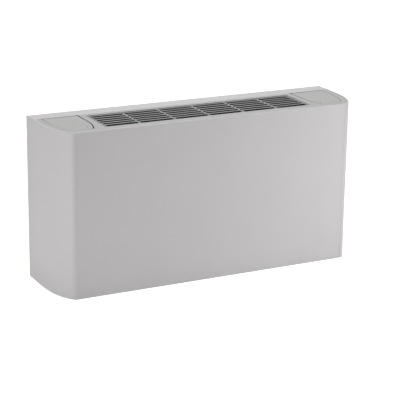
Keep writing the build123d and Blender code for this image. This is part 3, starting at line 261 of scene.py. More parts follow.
def sheet(outer: np.ndarray, holes: list[np.ndarray], z_range: tuple[float, float], lips: tuple[float, float]) -> Shell:
    """A flat sheet with holes: walls rise from the lower face, turn over quarter-round lips and meet the upper face.

    Each outline becomes a row of rings. A ring is the outline moved along its normals into the material, by one
    minus the cosine of the lip's angle, and raised by the sine. The flat faces are triangulated between the rings.

    Args:
        outer: Counter-clockwise outer outline.
        holes: Counter-clockwise outlines of the holes.
        z_range: Heights of the lower and upper faces.
        lips: Lip radius at the outer edge and at the holes.

    Returns:
        The sheet's shell.
    """
    low, high = z_range
    verts: list[np.ndarray] = []
    faces: list = []
    upper: list[np.ndarray] = []
    lower: list[np.ndarray] = []
    start = 0
    for index, outline in enumerate([outer, *holes]):
        sign, lip = (-1.0, lips[0]) if index == 0 else (1.0, lips[1])
        turn = np.linspace(0, math.pi / 2, 6)
        shift = np.concatenate(([0, 0, 0], lip * (1 - np.cos(turn)), [lip + GUARD]))
        height = np.concatenate(([low, low + GUARD, high - lip - GUARD], high - lip + lip * np.sin(turn), [high]))
        normal = outward(outline)
        rings = np.empty((len(shift), len(outline), 3))
        rings[:, :, :2] = outline[None] + sign * shift[:, None, None] * normal[None]
        rings[:, :, 2] = height[:, None]
        count, size = len(shift), len(outline)
        i = np.arange(count - 1)[:, None]
        j = np.arange(size)[None, :]
        beside = (j + 1) % size
        quads = np.stack((i * size + j, i * size + beside, (i + 1) * size + beside, (i + 1) * size + j), axis=-1)
        quads = quads.reshape(-1, 4) + start
        faces += (quads if index == 0 else quads[:, ::-1]).tolist()
        verts.append(rings.reshape(-1, 3))
        lower.append(np.arange(size) + start)
        upper.append(np.arange(size) + start + (count - 1) * size)
        start += count * size
    points = np.vstack(verts)
    for rims, up in ((upper, True), (lower, False)):
        order = np.concatenate(rims)
        for tri in tessellate_polygon([[Vector(points[k]) for k in rim] for rim in rims]):
            a, b, c = (points[order[k]] for k in tri)
            rising = np.cross(b - a, c - a)[2] > 0
            face = [int(order[k]) for k in tri]
            faces.append(face if rising == up else face[::-1])
    return points, faces


def mirrored(shell: Shell) -> Shell:
    """The same shell on the other side of the middle plane, with its faces turned back outward."""
    verts, faces = shell
    return verts * np.array([-1.0, 1.0, 1.0]), [face[::-1] for face in faces]


class Slot(Enum):
    """Material slots of the record, one for each kind of finish."""

    CABINET = "cabinet_paint"
    COVER = "cover_moulding"
    # Grille moulding: its finish is painted shade, far darker than the cover moulding it matches.
    GRILLE = "grille_moulding"
    WELL = "well_moulding"
    FOAM = "foam"
    ZINC = "galvanised"
    FAN = "fan_aluminium"
    STEEL = "bright_steel"
    WINDING = "winding"
    MOTOR = "motor_paint"
    BRONZE = "bronze"
    CERAMIC = "ceramic"
    BLACK = "black_plastic"
    KNOB = "knob_plastic"
    LAMP = "lamp_lens"
    RESET = "reset_plastic"
    STUD = "stud_plastic"
    FILTER = "filter_medium"
    SHEATH = "element_sheath"


class Effect(Enum):
    """Shared surface effects, each kept as one shader node group."""

    GRAIN = "fine_grain"
    CLOUD = "tone_cloud"
    SPANGLE = "zinc_spangle"
    BRUSH = "brush_lines"
    WEAVE = "filter_weave"


class EffectGroups:
    """Builds each shared effect once, as a node group with a Scale input, a Mask output and a Height output."""

    def __init__(self) -> None:
        """Makes an empty store of groups."""
        self.groups: dict[Effect, bpy.types.NodeTree] = {}

    def get(self, effect: Effect) -> bpy.types.NodeTree:
        """The node group of an effect, built the first time it is asked for."""
        if effect not in self.groups:
            self.groups[effect] = self._build(effect)
        return self.groups[effect]

    def _build(self, effect: Effect) -> bpy.types.NodeTree:
        """Builds one group on Object coordinates.

        Args:
            effect: The effect to build.

        Returns:
            The finished node group.
        """
        tree = bpy.data.node_groups.new(effect.value, "ShaderNodeTree")
        scale = tree.interface.new_socket("Scale", in_out="INPUT", socket_type="NodeSocketFloat")
        scale.default_value = 1.0
        tree.interface.new_socket("Mask", in_out="OUTPUT", socket_type="NodeSocketFloat")
        tree.interface.new_socket("Height", in_out="OUTPUT", socket_type="NodeSocketFloat")
        inputs = tree.nodes.new("NodeGroupInput")
        outputs = tree.nodes.new("NodeGroupOutput")
        place = tree.nodes.new("ShaderNodeTexCoord")
        stretch = tree.nodes.new("ShaderNodeMapping")
        tree.links.new(place.outputs["Object"], stretch.inputs["Vector"])
        if effect is Effect.BRUSH:
            stretch.inputs["Scale"].default_value = (0.04, 1.0, 1.0)
        if effect is Effect.WEAVE:
            mask, height = self._weave(tree, stretch, inputs)
        elif effect is Effect.SPANGLE:
            mask, height = self._spangle(tree, stretch, inputs)
        else:
            mask, height = self._noise(tree, stretch, inputs, effect)
        tree.links.new(mask, outputs.inputs["Mask"])
        tree.links.new(height, outputs.inputs["Height"])
        return tree

    @staticmethod
    def _noise(
        tree: bpy.types.NodeTree, stretch: bpy.types.Node, inputs: bpy.types.Node, effect: Effect
    ) -> tuple[bpy.types.NodeSocket, bpy.types.NodeSocket]:
        """Noise sharpened by a ramp for the mask, and the plain noise for the height."""
        noise = tree.nodes.new("ShaderNodeTexNoise")
        noise.inputs["Detail"].default_value = 5.0 if effect is Effect.CLOUD else 2.0
        noise.inputs["Roughness"].default_value = 0.55
        tree.links.new(stretch.outputs["Vector"], noise.inputs["Vector"])
        tree.links.new(inputs.outputs["Scale"], noise.inputs["Scale"])
        ramp = tree.nodes.new("ShaderNodeMapRange")
        ramp.inputs["From Min"].default_value = 0.3
        ramp.inputs["From Max"].default_value = 0.7
        tree.links.new(noise.outputs["Fac"], ramp.inputs["Value"])
        return ramp.outputs["Result"], noise.outputs["Fac"]

    @staticmethod
    def _spangle(
        tree: bpy.types.NodeTree, stretch: bpy.types.Node, inputs: bpy.types.Node
    ) -> tuple[bpy.types.NodeSocket, bpy.types.NodeSocket]:
        """Crystal cells, each with its own brightness from the cell's colour, and the distance to the cell's middle."""
        cells = tree.nodes.new("ShaderNodeTexVoronoi")
        tree.links.new(stretch.outputs["Vector"], cells.inputs["Vector"])
        tree.links.new(inputs.outputs["Scale"], cells.inputs["Scale"])
        split = tree.nodes.new("ShaderNodeSeparateColor")
        tree.links.new(cells.outputs["Color"], split.inputs["Color"])
        return split.outputs["Red"], cells.outputs["Distance"]

    @staticmethod
    def _weave(
        tree: bpy.types.NodeTree, stretch: bpy.types.Node, inputs: bpy.types.Node
    ) -> tuple[bpy.types.NodeSocket, bpy.types.NodeSocket]:
        """Two sets of waves at right angles; the higher of the two is the height and the mask."""
        waves = []
        for direction in ("X", "Y"):
            wave = tree.nodes.new("ShaderNodeTexWave")
            wave.bands_direction = direction
            tree.links.new(stretch.outputs["Vector"], wave.inputs["Vector"])
            tree.links.new(inputs.outputs["Scale"], wave.inputs["Scale"])
            waves.append(wave.outputs["Fac"])
        higher = tree.nodes.new("ShaderNodeMath")
        higher.operation = "MAXIMUM"
        tree.links.new(waves[0], higher.inputs[0])
        tree.links.new(waves[1], higher.inputs[1])
        return higher.outputs["Value"], higher.outputs["Value"]


@dataclass(frozen=True)
class Finish:
    """One finish: two tones mixed by a large pattern, roughness varied by a fine one, and a fine relief.

    Attributes:
        slot: Record slot it dresses.
        tones: Darker and lighter base colour.
        rough: Lowest and highest roughness.
        metallic: Metallic value.
        tone_effect: Effect that mixes the two tones.
        tone_scale: Scale of that effect, in cells per metre.
        relief_effect: Effect behind the roughness and the relief.
        relief_scale: Scale of that effect, in cells per metre.
        relief: Depth of the relief in metres.
        coat: Coat weight.
        glow: Emission strength of the base colour.
    """

    slot: Slot
    tones: tuple[tuple[float, float, float], tuple[float, float, float]]
    rough: tuple[float, float]
    metallic: float = 0.0
    tone_effect: Effect = Effect.CLOUD
    tone_scale: float = 6.0
    relief_effect: Effect = Effect.GRAIN
    relief_scale: float = 1400.0
    relief: float = 0.00001
    coat: float = 0.0
    glow: float = 0.0

    def build(self, groups: EffectGroups) -> bpy.types.Material:
        """Makes the node material.

        Args:
            groups: Store of the shared effects.

        Returns:
            The finished material.
        """
        material = bpy.data.materials.new("finish_" + self.slot.value)
        material.use_nodes = True
        tree = material.node_tree
        shader = tree.nodes["Principled BSDF"]
        shader.inputs["Metallic"].default_value = self.metallic
        shader.inputs["Coat Weight"].default_value = self.coat
        tone = self._effect(tree, groups, self.tone_effect, self.tone_scale)
        fine = self._effect(tree, groups, self.relief_effect, self.relief_scale)
        mix = tree.nodes.new("ShaderNodeMix")
        mix.data_type = "RGBA"
        colour_a, colour_b = mix.inputs[6], mix.inputs[7]
        colour_a.default_value = (*self.tones[0], 1.0)
        colour_b.default_value = (*self.tones[1], 1.0)
        tree.links.new(tone.outputs["Mask"], mix.inputs[0])
        tree.links.new(mix.outputs[2], shader.inputs["Base Color"])
        gloss = tree.nodes.new("ShaderNodeMapRange")
        gloss.inputs["To Min"].default_value = self.rough[0]
        gloss.inputs["To Max"].default_value = self.rough[1]
        tree.links.new(fine.outputs["Mask"], gloss.inputs["Value"])
        tree.links.new(gloss.outputs["Result"], shader.inputs["Roughness"])
        bump = tree.nodes.new("ShaderNodeBump")
        bump.inputs["Strength"].default_value = 1.0
        bump.inputs["Distance"].default_value = self.relief
        tree.links.new(fine.outputs["Height"], bump.inputs["Height"])
        tree.links.new(bump.outputs["Normal"], shader.inputs["Normal"])
        if self.glow > 0:
            tree.links.new(mix.outputs[2], shader.inputs["Emission Color"])
            shader.inputs["Emission Strength"].default_value = self.glow
        return material

    @staticmethod
    def _effect(tree: bpy.types.NodeTree, groups: EffectGroups, effect: Effect, scale: float) -> bpy.types.Node:
        """Places a shared effect in the material with its own scale."""
        node = tree.nodes.new("ShaderNodeGroup")
        node.node_tree = groups.get(effect)
        node.inputs["Scale"].default_value = scale
        return node


def grey(value: float, warmth: float = 0.0) -> tuple[float, float, float]:
    """A grey of the given value, with red raised and blue lowered by the warmth."""
    return value * (1 + warmth), value, value * (1 - warmth)


FINISHES = (
    Finish(Slot.CABINET, ((0.568, 0.554, 0.560), (0.586, 0.572, 0.578)), (0.52, 0.60), relief_scale=900, relief=4e-6),
    Finish(Slot.COVER, (grey(0.388, 0.008), grey(0.406, 0.008)), (0.42, 0.52), relief_scale=1500, relief=6e-6),
    # Painted shade: the grille blades are toned far darker than the cover moulding, standing in for the shade between
    # them in the outlet.
    Finish(Slot.GRILLE, (grey(0.175), grey(0.195)), (0.42, 0.52), relief_scale=1500, relief=6e-6),
    Finish(Slot.WELL, (grey(0.330), grey(0.350)), (0.5, 0.6), relief_scale=1200, relief=1e-5),
    Finish(Slot.FOAM, (grey(0.020), grey(0.035)), (0.85, 0.95), relief_scale=500, relief=2e-4),
    Finish(
        Slot.ZINC, (grey(0.46, -0.01), grey(0.57, -0.01)), (0.34, 0.5), 0.85, Effect.SPANGLE, 150, Effect.CLOUD, 240, 1e-5
    ),
    Finish(Slot.FAN, (grey(0.60), grey(0.72)), (0.28, 0.42), 1.0, Effect.CLOUD, 30, Effect.BRUSH, 1500, 8e-6),
    Finish(Slot.STEEL, (grey(0.50), grey(0.62)), (0.2, 0.34), 1.0, Effect.CLOUD, 60, Effect.BRUSH, 2500, 5e-6),
    Finish(
        Slot.WINDING, ((0.22, 0.07, 0.02), (0.36, 0.13, 0.04)), (0.3, 0.45), 0.6, Effect.CLOUD, 60, Effect.BRUSH, 1200, 8e-5
    ),
    Finish(Slot.MOTOR, (grey(0.035), grey(0.05)), (0.4, 0.55), relief_scale=900, relief=2e-5),
    Finish(Slot.BRONZE, ((0.42, 0.26, 0.10), (0.52, 0.34, 0.15)), (0.3, 0.42), 1.0, relief_scale=2200, relief=5e-6),
    Finish(Slot.CERAMIC, (grey(0.70, 0.03), grey(0.76, 0.03)), (0.22, 0.34), relief_scale=1200, relief=5e-6, coat=0.2),
    Finish(Slot.BLACK, (grey(0.018), grey(0.026)), (0.45, 0.6), relief_scale=1500, relief=2e-5),
    Finish(Slot.KNOB, (grey(0.055), grey(0.07)), (0.36, 0.48), relief_scale=1800, relief=8e-6),
    Finish(
        Slot.LAMP, ((0.55, 0.045, 0.02), (0.65, 0.07, 0.03)), (0.1, 0.16), relief_scale=500, relief=4e-6, coat=0.6, glow=0.15
    ),
    Finish(Slot.RESET, ((0.42, 0.025, 0.02), (0.50, 0.04, 0.03)), (0.24, 0.34), relief_scale=1500, relief=4e-6, coat=0.2),
    Finish(Slot.STUD, (grey(0.045, 0.03), grey(0.06, 0.03)), (0.4, 0.5), relief_scale=1500, relief=6e-6),
    Finish(Slot.FILTER, (grey(0.05), grey(0.16)), (0.7, 0.9), 0.0, Effect.WEAVE, 260, Effect.WEAVE, 260, 3e-4),
    Finish(Slot.SHEATH, (grey(0.10, 0.03), grey(0.18, 0.02)), (0.35, 0.5), 0.9, Effect.CLOUD, 80, Effect.GRAIN, 900, 2e-5),
)


class Workshop:
    """Puts shells into meshes, dresses them and fixes them to their bodies."""

    def __init__(self, frame: dict) -> None:
        """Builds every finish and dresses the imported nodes.

        Args:
            frame: The loaded frame.
        """
        groups = EffectGroups()
        self.materials = {finish.slot: finish.build(groups) for finish in FINISHES}
        slots = {item["node"]: item["material_slot"] for item in frame["record"]["subparts"]}
        for name, node in frame["nodes"].items():
            node.data.materials.clear()
            node.data.materials.append(self.materials[Slot(slots[name])])

    def add(self, name: str, shells: list[Shell], slot: Slot, body: str, replaced: tuple[str, ...] = ()) -> bpy.types.Object:
        """Makes one piece from closed shells.

        Args:
            name: The piece's name.
            shells: Closed shells that form it.
            slot: Its finish.
            body: The body that it moves with.
            replaced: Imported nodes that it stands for.

        Returns:
            The new object.
        """
        sizes = np.cumsum([0] + [len(verts) for verts, _ in shells])
        points = np.vstack([verts for verts, _ in shells])
        faces = [[int(k + start) for k in face] for (_, group), start in zip(shells, sizes) for face in group]
        mesh = bpy.data.meshes.new(name)
        mesh.from_pydata(points.tolist(), [], faces)
        mesh.polygons.foreach_set("use_smooth", np.ones(len(mesh.polygons), bool))
        mesh.set_sharp_from_angle(angle=SMOOTH_ANGLE)
        mesh.update()
        piece = bpy.data.objects.new(name, mesh)
        bpy.context.scene.collection.objects.link(piece)
        self.finish(piece, slot, body)
        if replaced:
            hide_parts(*replaced)
        LOG.info("%s: %d faces on %s", name, len(faces), body)
        return piece

    def finish(self, piece: bpy.types.Object, slot: Slot, body: str) -> None:
        """Gives a piece the material of its record slot, and its body."""
        piece.data.materials.clear()
        piece.data.materials.append(self.materials[slot])
        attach(piece, body)

    def lettering(self, name: str, marks: list[tuple[str, float, float]], size: float, z: float, body: str) -> None:
        """Raised numerals and signs, cut as flat letters with a small thickness.

        Args:
            name: The piece's name.
            marks: Text with its middle's X and Y.
            size: Letter height.
            z: Height that the letters stand on.
            body: The body that they move with.
        """
        pieces = []
        for text, x, y in marks:
            curve = bpy.data.curves.new(name, "FONT")
            curve.body = text
            curve.size = size
            curve.align_x = "CENTER"
            curve.align_y = "CENTER"
            curve.extrude = 0.06 * MM
            letter = bpy.data.objects.new(name + "_draft", curve)
            mesh = bpy.data.meshes.new_from_object(letter)
            points = np.empty(len(mesh.vertices) * 3)
            mesh.vertices.foreach_get("co", points)
            points = points.reshape(-1, 3) + np.array([x, y, z + curve.extrude])
            faces = [list(face.vertices) for face in mesh.polygons]
            pieces.append((points, faces))
            bpy.data.objects.remove(letter)
            bpy.data.meshes.remove(mesh)
        self.add(name, pieces, Slot.CERAMIC, body)


@dataclass
class BowPlan:
    """Plan of the cabinet: flat front and back, and ends that bow forward through three tangent arcs."""

    width: float
    depth: float
    bow_depth: float = 158 * MM
    bow_radius: float = 174 * MM
    corner_radius: float = 18.5 * MM
    bow_turn: float = math.radians(11.2)
    corner_turn: float = math.radians(36.8)

    def arcs(self) -> tuple[np.ndarray, np.ndarray]:
        """Centres and radii of the flank, bow and corner arcs of the right end.

        The flank's radius makes the three arcs reach exactly from the straight flank to the front.

        Returns:
            Centres in rows, and radii.
        """
        bow_run = self.bow_radius * (math.sin(self.corner_turn) - math.sin(self.bow_turn))
        corner_run = self.corner_radius * (1 - math.sin(self.corner_turn))
        flank_radius = (self.bow_depth - bow_run - corner_run) / math.sin(self.bow_turn)
        flank = np.array([self.width / 2 - flank_radius, self.bow_depth - self.depth / 2])
        first = np.array([math.cos(self.bow_turn), -math.sin(self.bow_turn)])
        second = np.array([math.cos(self.corner_turn), -math.sin(self.corner_turn)])
        bow = flank + (flank_radius - self.bow_radius) * first
        corner = bow + (self.bow_radius - self.corner_radius) * second
        return np.array([flank, bow, corner]), np.array([flank_radius, self.bow_radius, self.corner_radius])

    @property
    def seam(self) -> float:
        """Distance from the middle to the line where the end meets the flat front."""
        return float(self.arcs()[0][2, 0])

    def end(self, inset: float, rear: float) -> tuple[np.ndarray, np.ndarray]:
        """Points and outward normals of the right end, from the front seam back to the line y = rear.

        A turning angle sweeps from a quarter turn at the front to zero at the straight flank. Each angle takes the
        arc that it falls on: centre plus (radius less inset) times (cosine, minus sine).

        Args:
            inset: Distance inside the outline.
            rear: Y of the rear end.

        Returns:
            Points and unit normals, in rows.
        """
        centres, radii = self.arcs()
        turn = np.concatenate(
            (
                np.linspace(math.pi / 2, self.corner_turn, 15)[:-1],
                np.linspace(self.corner_turn, self.bow_turn, 19)[:-1],
                np.linspace(self.bow_turn, 0, 13),
            )
        )
        index = np.where(turn > self.corner_turn, 2, np.where(turn > self.bow_turn, 1, 0))
        normal = np.column_stack((np.cos(turn), -np.sin(turn)))
        points = centres[index] + (radii[index] - inset)[:, None] * normal
        flat = np.linspace(points[-1, 1], rear, 6)[1:]
        flank = np.column_stack((np.full(len(flat), points[-1, 0]), flat))
        return np.vstack((points, flank)), np.vstack((normal, np.tile([1.0, 0.0], (len(flat), 1))))

    def outline(self, inset: float, front: float, rear: float, corner: float) -> np.ndarray:
        """Counter-clockwise outline of the whole top inside the rim, between two lines of Y.

        Args:
            inset: Distance inside the cabinet's outline.
            front: Y where the outline starts, or below the front for the true front edge.
            rear: Y of the rear edge.
            corner: Radius of the rear corners.

        Returns:
            The closed outline.
        """
        right, _ = self.end(inset, rear - corner)
        right = right[right[:, 1] > front]
        edge = right[-1, 0]
        rounded = arc((edge - corner, rear - corner), corner, 0, math.pi / 2, 6)[1:]
        half = np.vstack((right, rounded))
        return np.vstack((half, half[::-1] * np.array([-1.0, 1.0])))


@dataclass
class Cabinet:
    """Painted shell: flat front sheet, two bowed end panels and the rear strip of the top."""

    plan: BowPlan
    height: float
    wall: float = 2.0 * MM
    rim: float = 0.9 * MM
    bead: float = 4.2 * MM
    bead_height: float = 0.76 * MM
    bead_round: float = 0.3 * MM
    seam_gap: float = 0.4 * MM
    seam_lip: float = 16 * MM
    base_lip: float = 12 * MM
    flange: float = 18 * MM
    rear_flange: float = 22 * MM
    back_sheet: float = 1.5 * MM
    cover_drop: float = 3.3 * MM
    fit: float = 0.3 * MM

    def wall_section(self) -> np.ndarray:
        """Cross-section of a panel's wall: depth inward and height, with a rounded rim bead folded over the cover."""
        quarter = math.pi / 2
        under = self.height - self.bead_height
        tip = self.bead_round
        corners = (
            ((self.wall - self.rim, self.rim), self.rim, -quarter),
            ((self.bead - tip, under + tip), tip, -quarter),
            ((self.bead - tip, self.height - tip), tip, 0.0),
            ((self.rim, self.height - self.rim), self.rim, quarter),
            ((self.rim, self.rim), self.rim, 2 * quarter),
        )
        arcs = [arc(centre, radius, start, start + quarter, 6) for centre, radius, start in corners]
        arcs.insert(1, np.array([[self.wall, under]]))
        return guarded(np.vstack(arcs))

    def front_sheet(self) -> list[Shell]:
        """The front sheet with its upper and lower flanges: the wall's section carried straight across."""
        front = -self.plan.depth / 2
        half = self.plan.seam - self.seam_gap
        section = self.wall_section()
        xs = np.array([-half, GUARD - half, half - GUARD, half])
        rings = np.empty((len(xs), len(section), 3))
        rings[:, :, 0] = xs[:, None]
        rings[:, :, 1] = front + section[:, 0]
        rings[:, :, 2] = section[:, 1]
        flange_half = half - self.seam_lip - self.wall
        shells = [loft(rings)]
        for z in (0.0, self.height - self.cover_drop - self.wall):
            low = (front + self.wall / 2, z)
            high = (front + self.flange, z + self.wall)
            fold = rounded_rectangle(low, high, self.wall / 4, 3)
            shells.append(bar(0, (-flange_half, flange_half), fold))
        return shells

    def end_panel(self) -> list[Shell]:
        """The right end panel: the wall's section carried along the bowed end, with its seam, base and rear lips."""
        rear = self.plan.depth / 2
        points, normal = self.plan.end(0.0, rear)
        section = self.wall_section()
        rings = np.empty((len(points), len(section), 3))
        rings[:, :, :2] = points[:, None, :] - section[None, :, :1] * normal[:, None, :]
        rings[:, :, 2] = section[:, 1]
        lip_end = rear - self.back_sheet - self.fit
        base_points, base_normal = self.plan.end(self.wall / 2, lip_end)
        lip = rounded_rectangle((0.0, 0.0), (self.wall / 2 + self.base_lip, self.wall), self.wall / 4, 3)
        base = np.empty((len(base_points), len(lip), 3))
        base[:, :, :2] = base_points[:, None, :] - lip[None, :, :1] * base_normal[:, None, :]
        base[:, :, 2] = lip[:, 1]
        front = -self.plan.depth / 2
        seam_low = (self.plan.seam - self.seam_lip, front + self.wall)
        seam_high = (self.plan.seam + self.seam_lip / 4, front + 2 * self.wall)
        top = self.height - self.cover_drop
        seam = bar(2, (self.wall + self.fit, top - self.wall - self.fit), rounded_rectangle(seam_low, seam_high, self.wall / 4, 3))
        side = self.plan.width / 2 - self.wall
        back_low = (side - self.rear_flange, rear - self.back_sheet - self.wall)
        back_high = (side + self.wall / 2, rear - self.back_sheet)
        back = bar(2, (0.0, top), rounded_rectangle(back_low, back_high, self.wall / 4, 3))
        return [loft(rings), loft(base), seam, back]

    def rear_strip(self) -> list[Shell]:
        """The painted strip behind the cover, with the stiffening flange below its front edge."""
        low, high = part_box("rear_strip")
        under = high.z - (self.cover_drop - (self.height - high.z))
        front, rear = low.y, high.y
        half = high.x
        corner = 1.2 * MM
        outline = rounded_rectangle((-half, front), (half, rear), corner, 5)
        sheet_shell = sheet(outline, [], (under, high.z), (0.5 * MM, 0.5 * MM))
        span = abs(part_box("left_cheek")[1].x) - self.fit
        fold = rounded_rectangle((front, low.z), (front + 1.2 * MM, under + self.fit), 0.3 * MM, 3)
        return [sheet_shell, bar(0, (-span, span), fold)]

    def build(self, shop: Workshop) -> None:
        """Adds the four painted pieces."""
        shop.add("front_sheet", self.front_sheet(), Slot.CABINET, "cabinet", ("front_panel",))
        end = self.end_panel()
        shop.add("right_end_shell", end, Slot.CABINET, "cabinet", ("right_side_panel",))
        shop.add("left_end_shell", [mirrored(s) for s in end], Slot.CABINET, "cabinet", ("left_side_panel",))
        shop.add("rear_top_strip", self.rear_strip(), Slot.CABINET, "cabinet", ("rear_strip",))


@dataclass
class FlapPlan:
    """Plan of the right flap: straight inner, front and rear edges, and an outer edge that follows the bow."""

    plan: BowPlan
    inner: float
    front: float
    rear: float
    margin: float = 25 * MM
    corner: float = 6 * MM
    grip: float = 16 * MM
    bend: float = 205 * MM
    bend_length: float = 80 * MM

    def outline(self, grow: float, rear_grow: float, grip: float, rear_corner: float) -> np.ndarray:
        """Counter-clockwise outline, grown on its sides and at the rear.

        Towards the front the inner edge follows a wide arc, the bend, and then the small arc of the front inner
        corner. The small arc's centre lies its radius behind the front line and the two radii's difference from the
        bend's centre, so both arcs meet without a kink. The front outer corner is an arc tangent to the front line and, from inside, to the bow: its centre lies the
        corner's radius behind the line and the two radii's difference from the bow's centre.

        Args:
            grow: Growth of the front and the sides.
            rear_grow: Growth of the rear edge.
            grip: Radius of the front inner corner.
            rear_corner: Radius of the rear corners.

        Returns:
            The closed outline.
        """
        centres, radii = self.plan.arcs()
        radii = radii - self.margin + grow
        front, rear, inner = self.front - grow, self.rear + rear_grow, self.inner - grow
        nose_y = front + self.corner
        reach = radii[1] - self.corner
        nose_x = centres[1, 0] + math.sqrt(reach**2 - (nose_y - centres[1, 1]) ** 2)
        tangent = math.atan2(centres[1, 1] - nose_y, nose_x - centres[1, 0])
        side = centres[0, 0] + radii[0]
        quarter = math.pi / 2
        bend, start = self.bend + grow, front + self.bend_length + grow
        rise = start - front - grip
        lean = math.asin(rise / (bend - grip))
        grip_x = inner + bend - (bend - grip) * math.cos(lean)
        return np.vstack(
            (
                arc((inner + bend, start), bend, 2 * quarter, 2 * quarter + lean, 10)[:-1],
                arc((grip_x, front + grip), grip, 2 * quarter + lean, 3 * quarter, 9),
                arc((nose_x, nose_y), self.corner, -quarter, -tangent, 7),
                arc(tuple(centres[1]), float(radii[1]), -tangent, -self.plan.bow_turn, 12)[1:],
                arc(tuple(centres[0]), float(radii[0]), -self.plan.bow_turn, 0, 10)[1:],
                arc((side - rear_corner, rear - rear_corner), rear_corner, 0, quarter, 6),
                arc((inner + rear_corner, rear - rear_corner), rear_corner, quarter, 2 * quarter, 6),
            )
        )


@dataclass
class TopCover:
    """Moulded cover: flat top with a long outlet, two flap openings that run back to the strip, and a skirt."""

    plan: BowPlan
    flap: FlapPlan
    wall: float = 2.3 * MM
    thickness: float = 2.5 * MM
    flap_gap: float = 1.0 * MM
    outlet_corner: float = 4 * MM
    skirt: float = 2.0 * MM
    ledge: float = 7.0 * MM
    outer_lip: float = 0.5 * MM
    hole_lip: float = 0.8 * MM
    grille_fit: float = 0.4 * MM

    def outer(self, rear: float) -> np.ndarray:
        """Outline of the cover with the flap openings cut in from its rear edge.

        It runs round the front and up the right side, in along the right opening, across behind the outlet, and
        round the left opening, which mirrors the right one.
        """
        end, _ = self.plan.end(self.wall, rear)
        hole = self.flap.outline(self.flap_gap, 0.0, self.flap.corner, self.flap.corner)
        rim_end = 0.6 * MM
        hole_front = hole[hole[:, 1] < self.flap.rear - 3 * self.flap.corner]
        start = int(np.argmax(np.hypot(*(np.roll(hole_front, -1, axis=0) - hole_front).T)))
        path = np.roll(hole_front, -(start + 1), axis=0)
        if path[0, 0] > path[-1, 0]:
            path = path[::-1]
        inner_x, outer_x = path[0, 0], path[-1, 0]
        edge = end[-1, 0]
        quarter = math.pi / 2
        rim = np.vstack(
            (
                arc((edge - rim_end, rear - rim_end), rim_end, 0, quarter, 4),
                arc((outer_x + rim_end, rear - rim_end), rim_end, quarter, 2 * quarter, 4),
            )
        )
        bridge = arc((inner_x - rim_end, rear - rim_end), rim_end, 0, quarter, 4)
        right = np.vstack((end[:-1], rim, path[::-1], bridge))
        return np.vstack((right, right[::-1] * np.array([-1.0, 1.0])))

    def build(self, shop: Workshop) -> None:
        """Adds the cover with its skirt and grille ledges."""
        low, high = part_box("top_cover")
        under = high.z - self.thickness
        grille_low, grille_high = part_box("outlet_grille")
        fit = self.grille_fit
        corner_low = (grille_low.x - fit, grille_low.y - fit)
        corner_high = (grille_high.x + fit, grille_high.y + fit)
        outlet = rounded_rectangle(corner_low, corner_high, self.outlet_corner, 8)
        plate = sheet(self.outer(high.y), [outlet], (under, high.z), (self.outer_lip, self.hole_lip))
        section = guarded(rounded_rectangle((0.0, low.z), (self.skirt, under + 0.2 * MM), 0.3 * MM, 3))
        normal = outward(outlet)
        rings = np.empty((len(outlet), len(section), 3))
        rings[:, :, :2] = outlet[:, None, :] + section[None, :, :1] * normal[:, None, :]
        rings[:, :, 2] = section[:, 1]
        shells = [plate, loft(rings, closed=True)]
        for x in (corner_low[0], corner_high[0] - self.ledge):
            profile = rounded_rectangle((x, low.z), (x + self.ledge, grille_low.z), 0.4 * MM, 3)
            shells.append(bar(1, (corner_low[1] + fit, corner_high[1] - fit), profile))
        shop.add("cover_plate", shells, Slot.COVER, "cabinet", ("top_cover",))


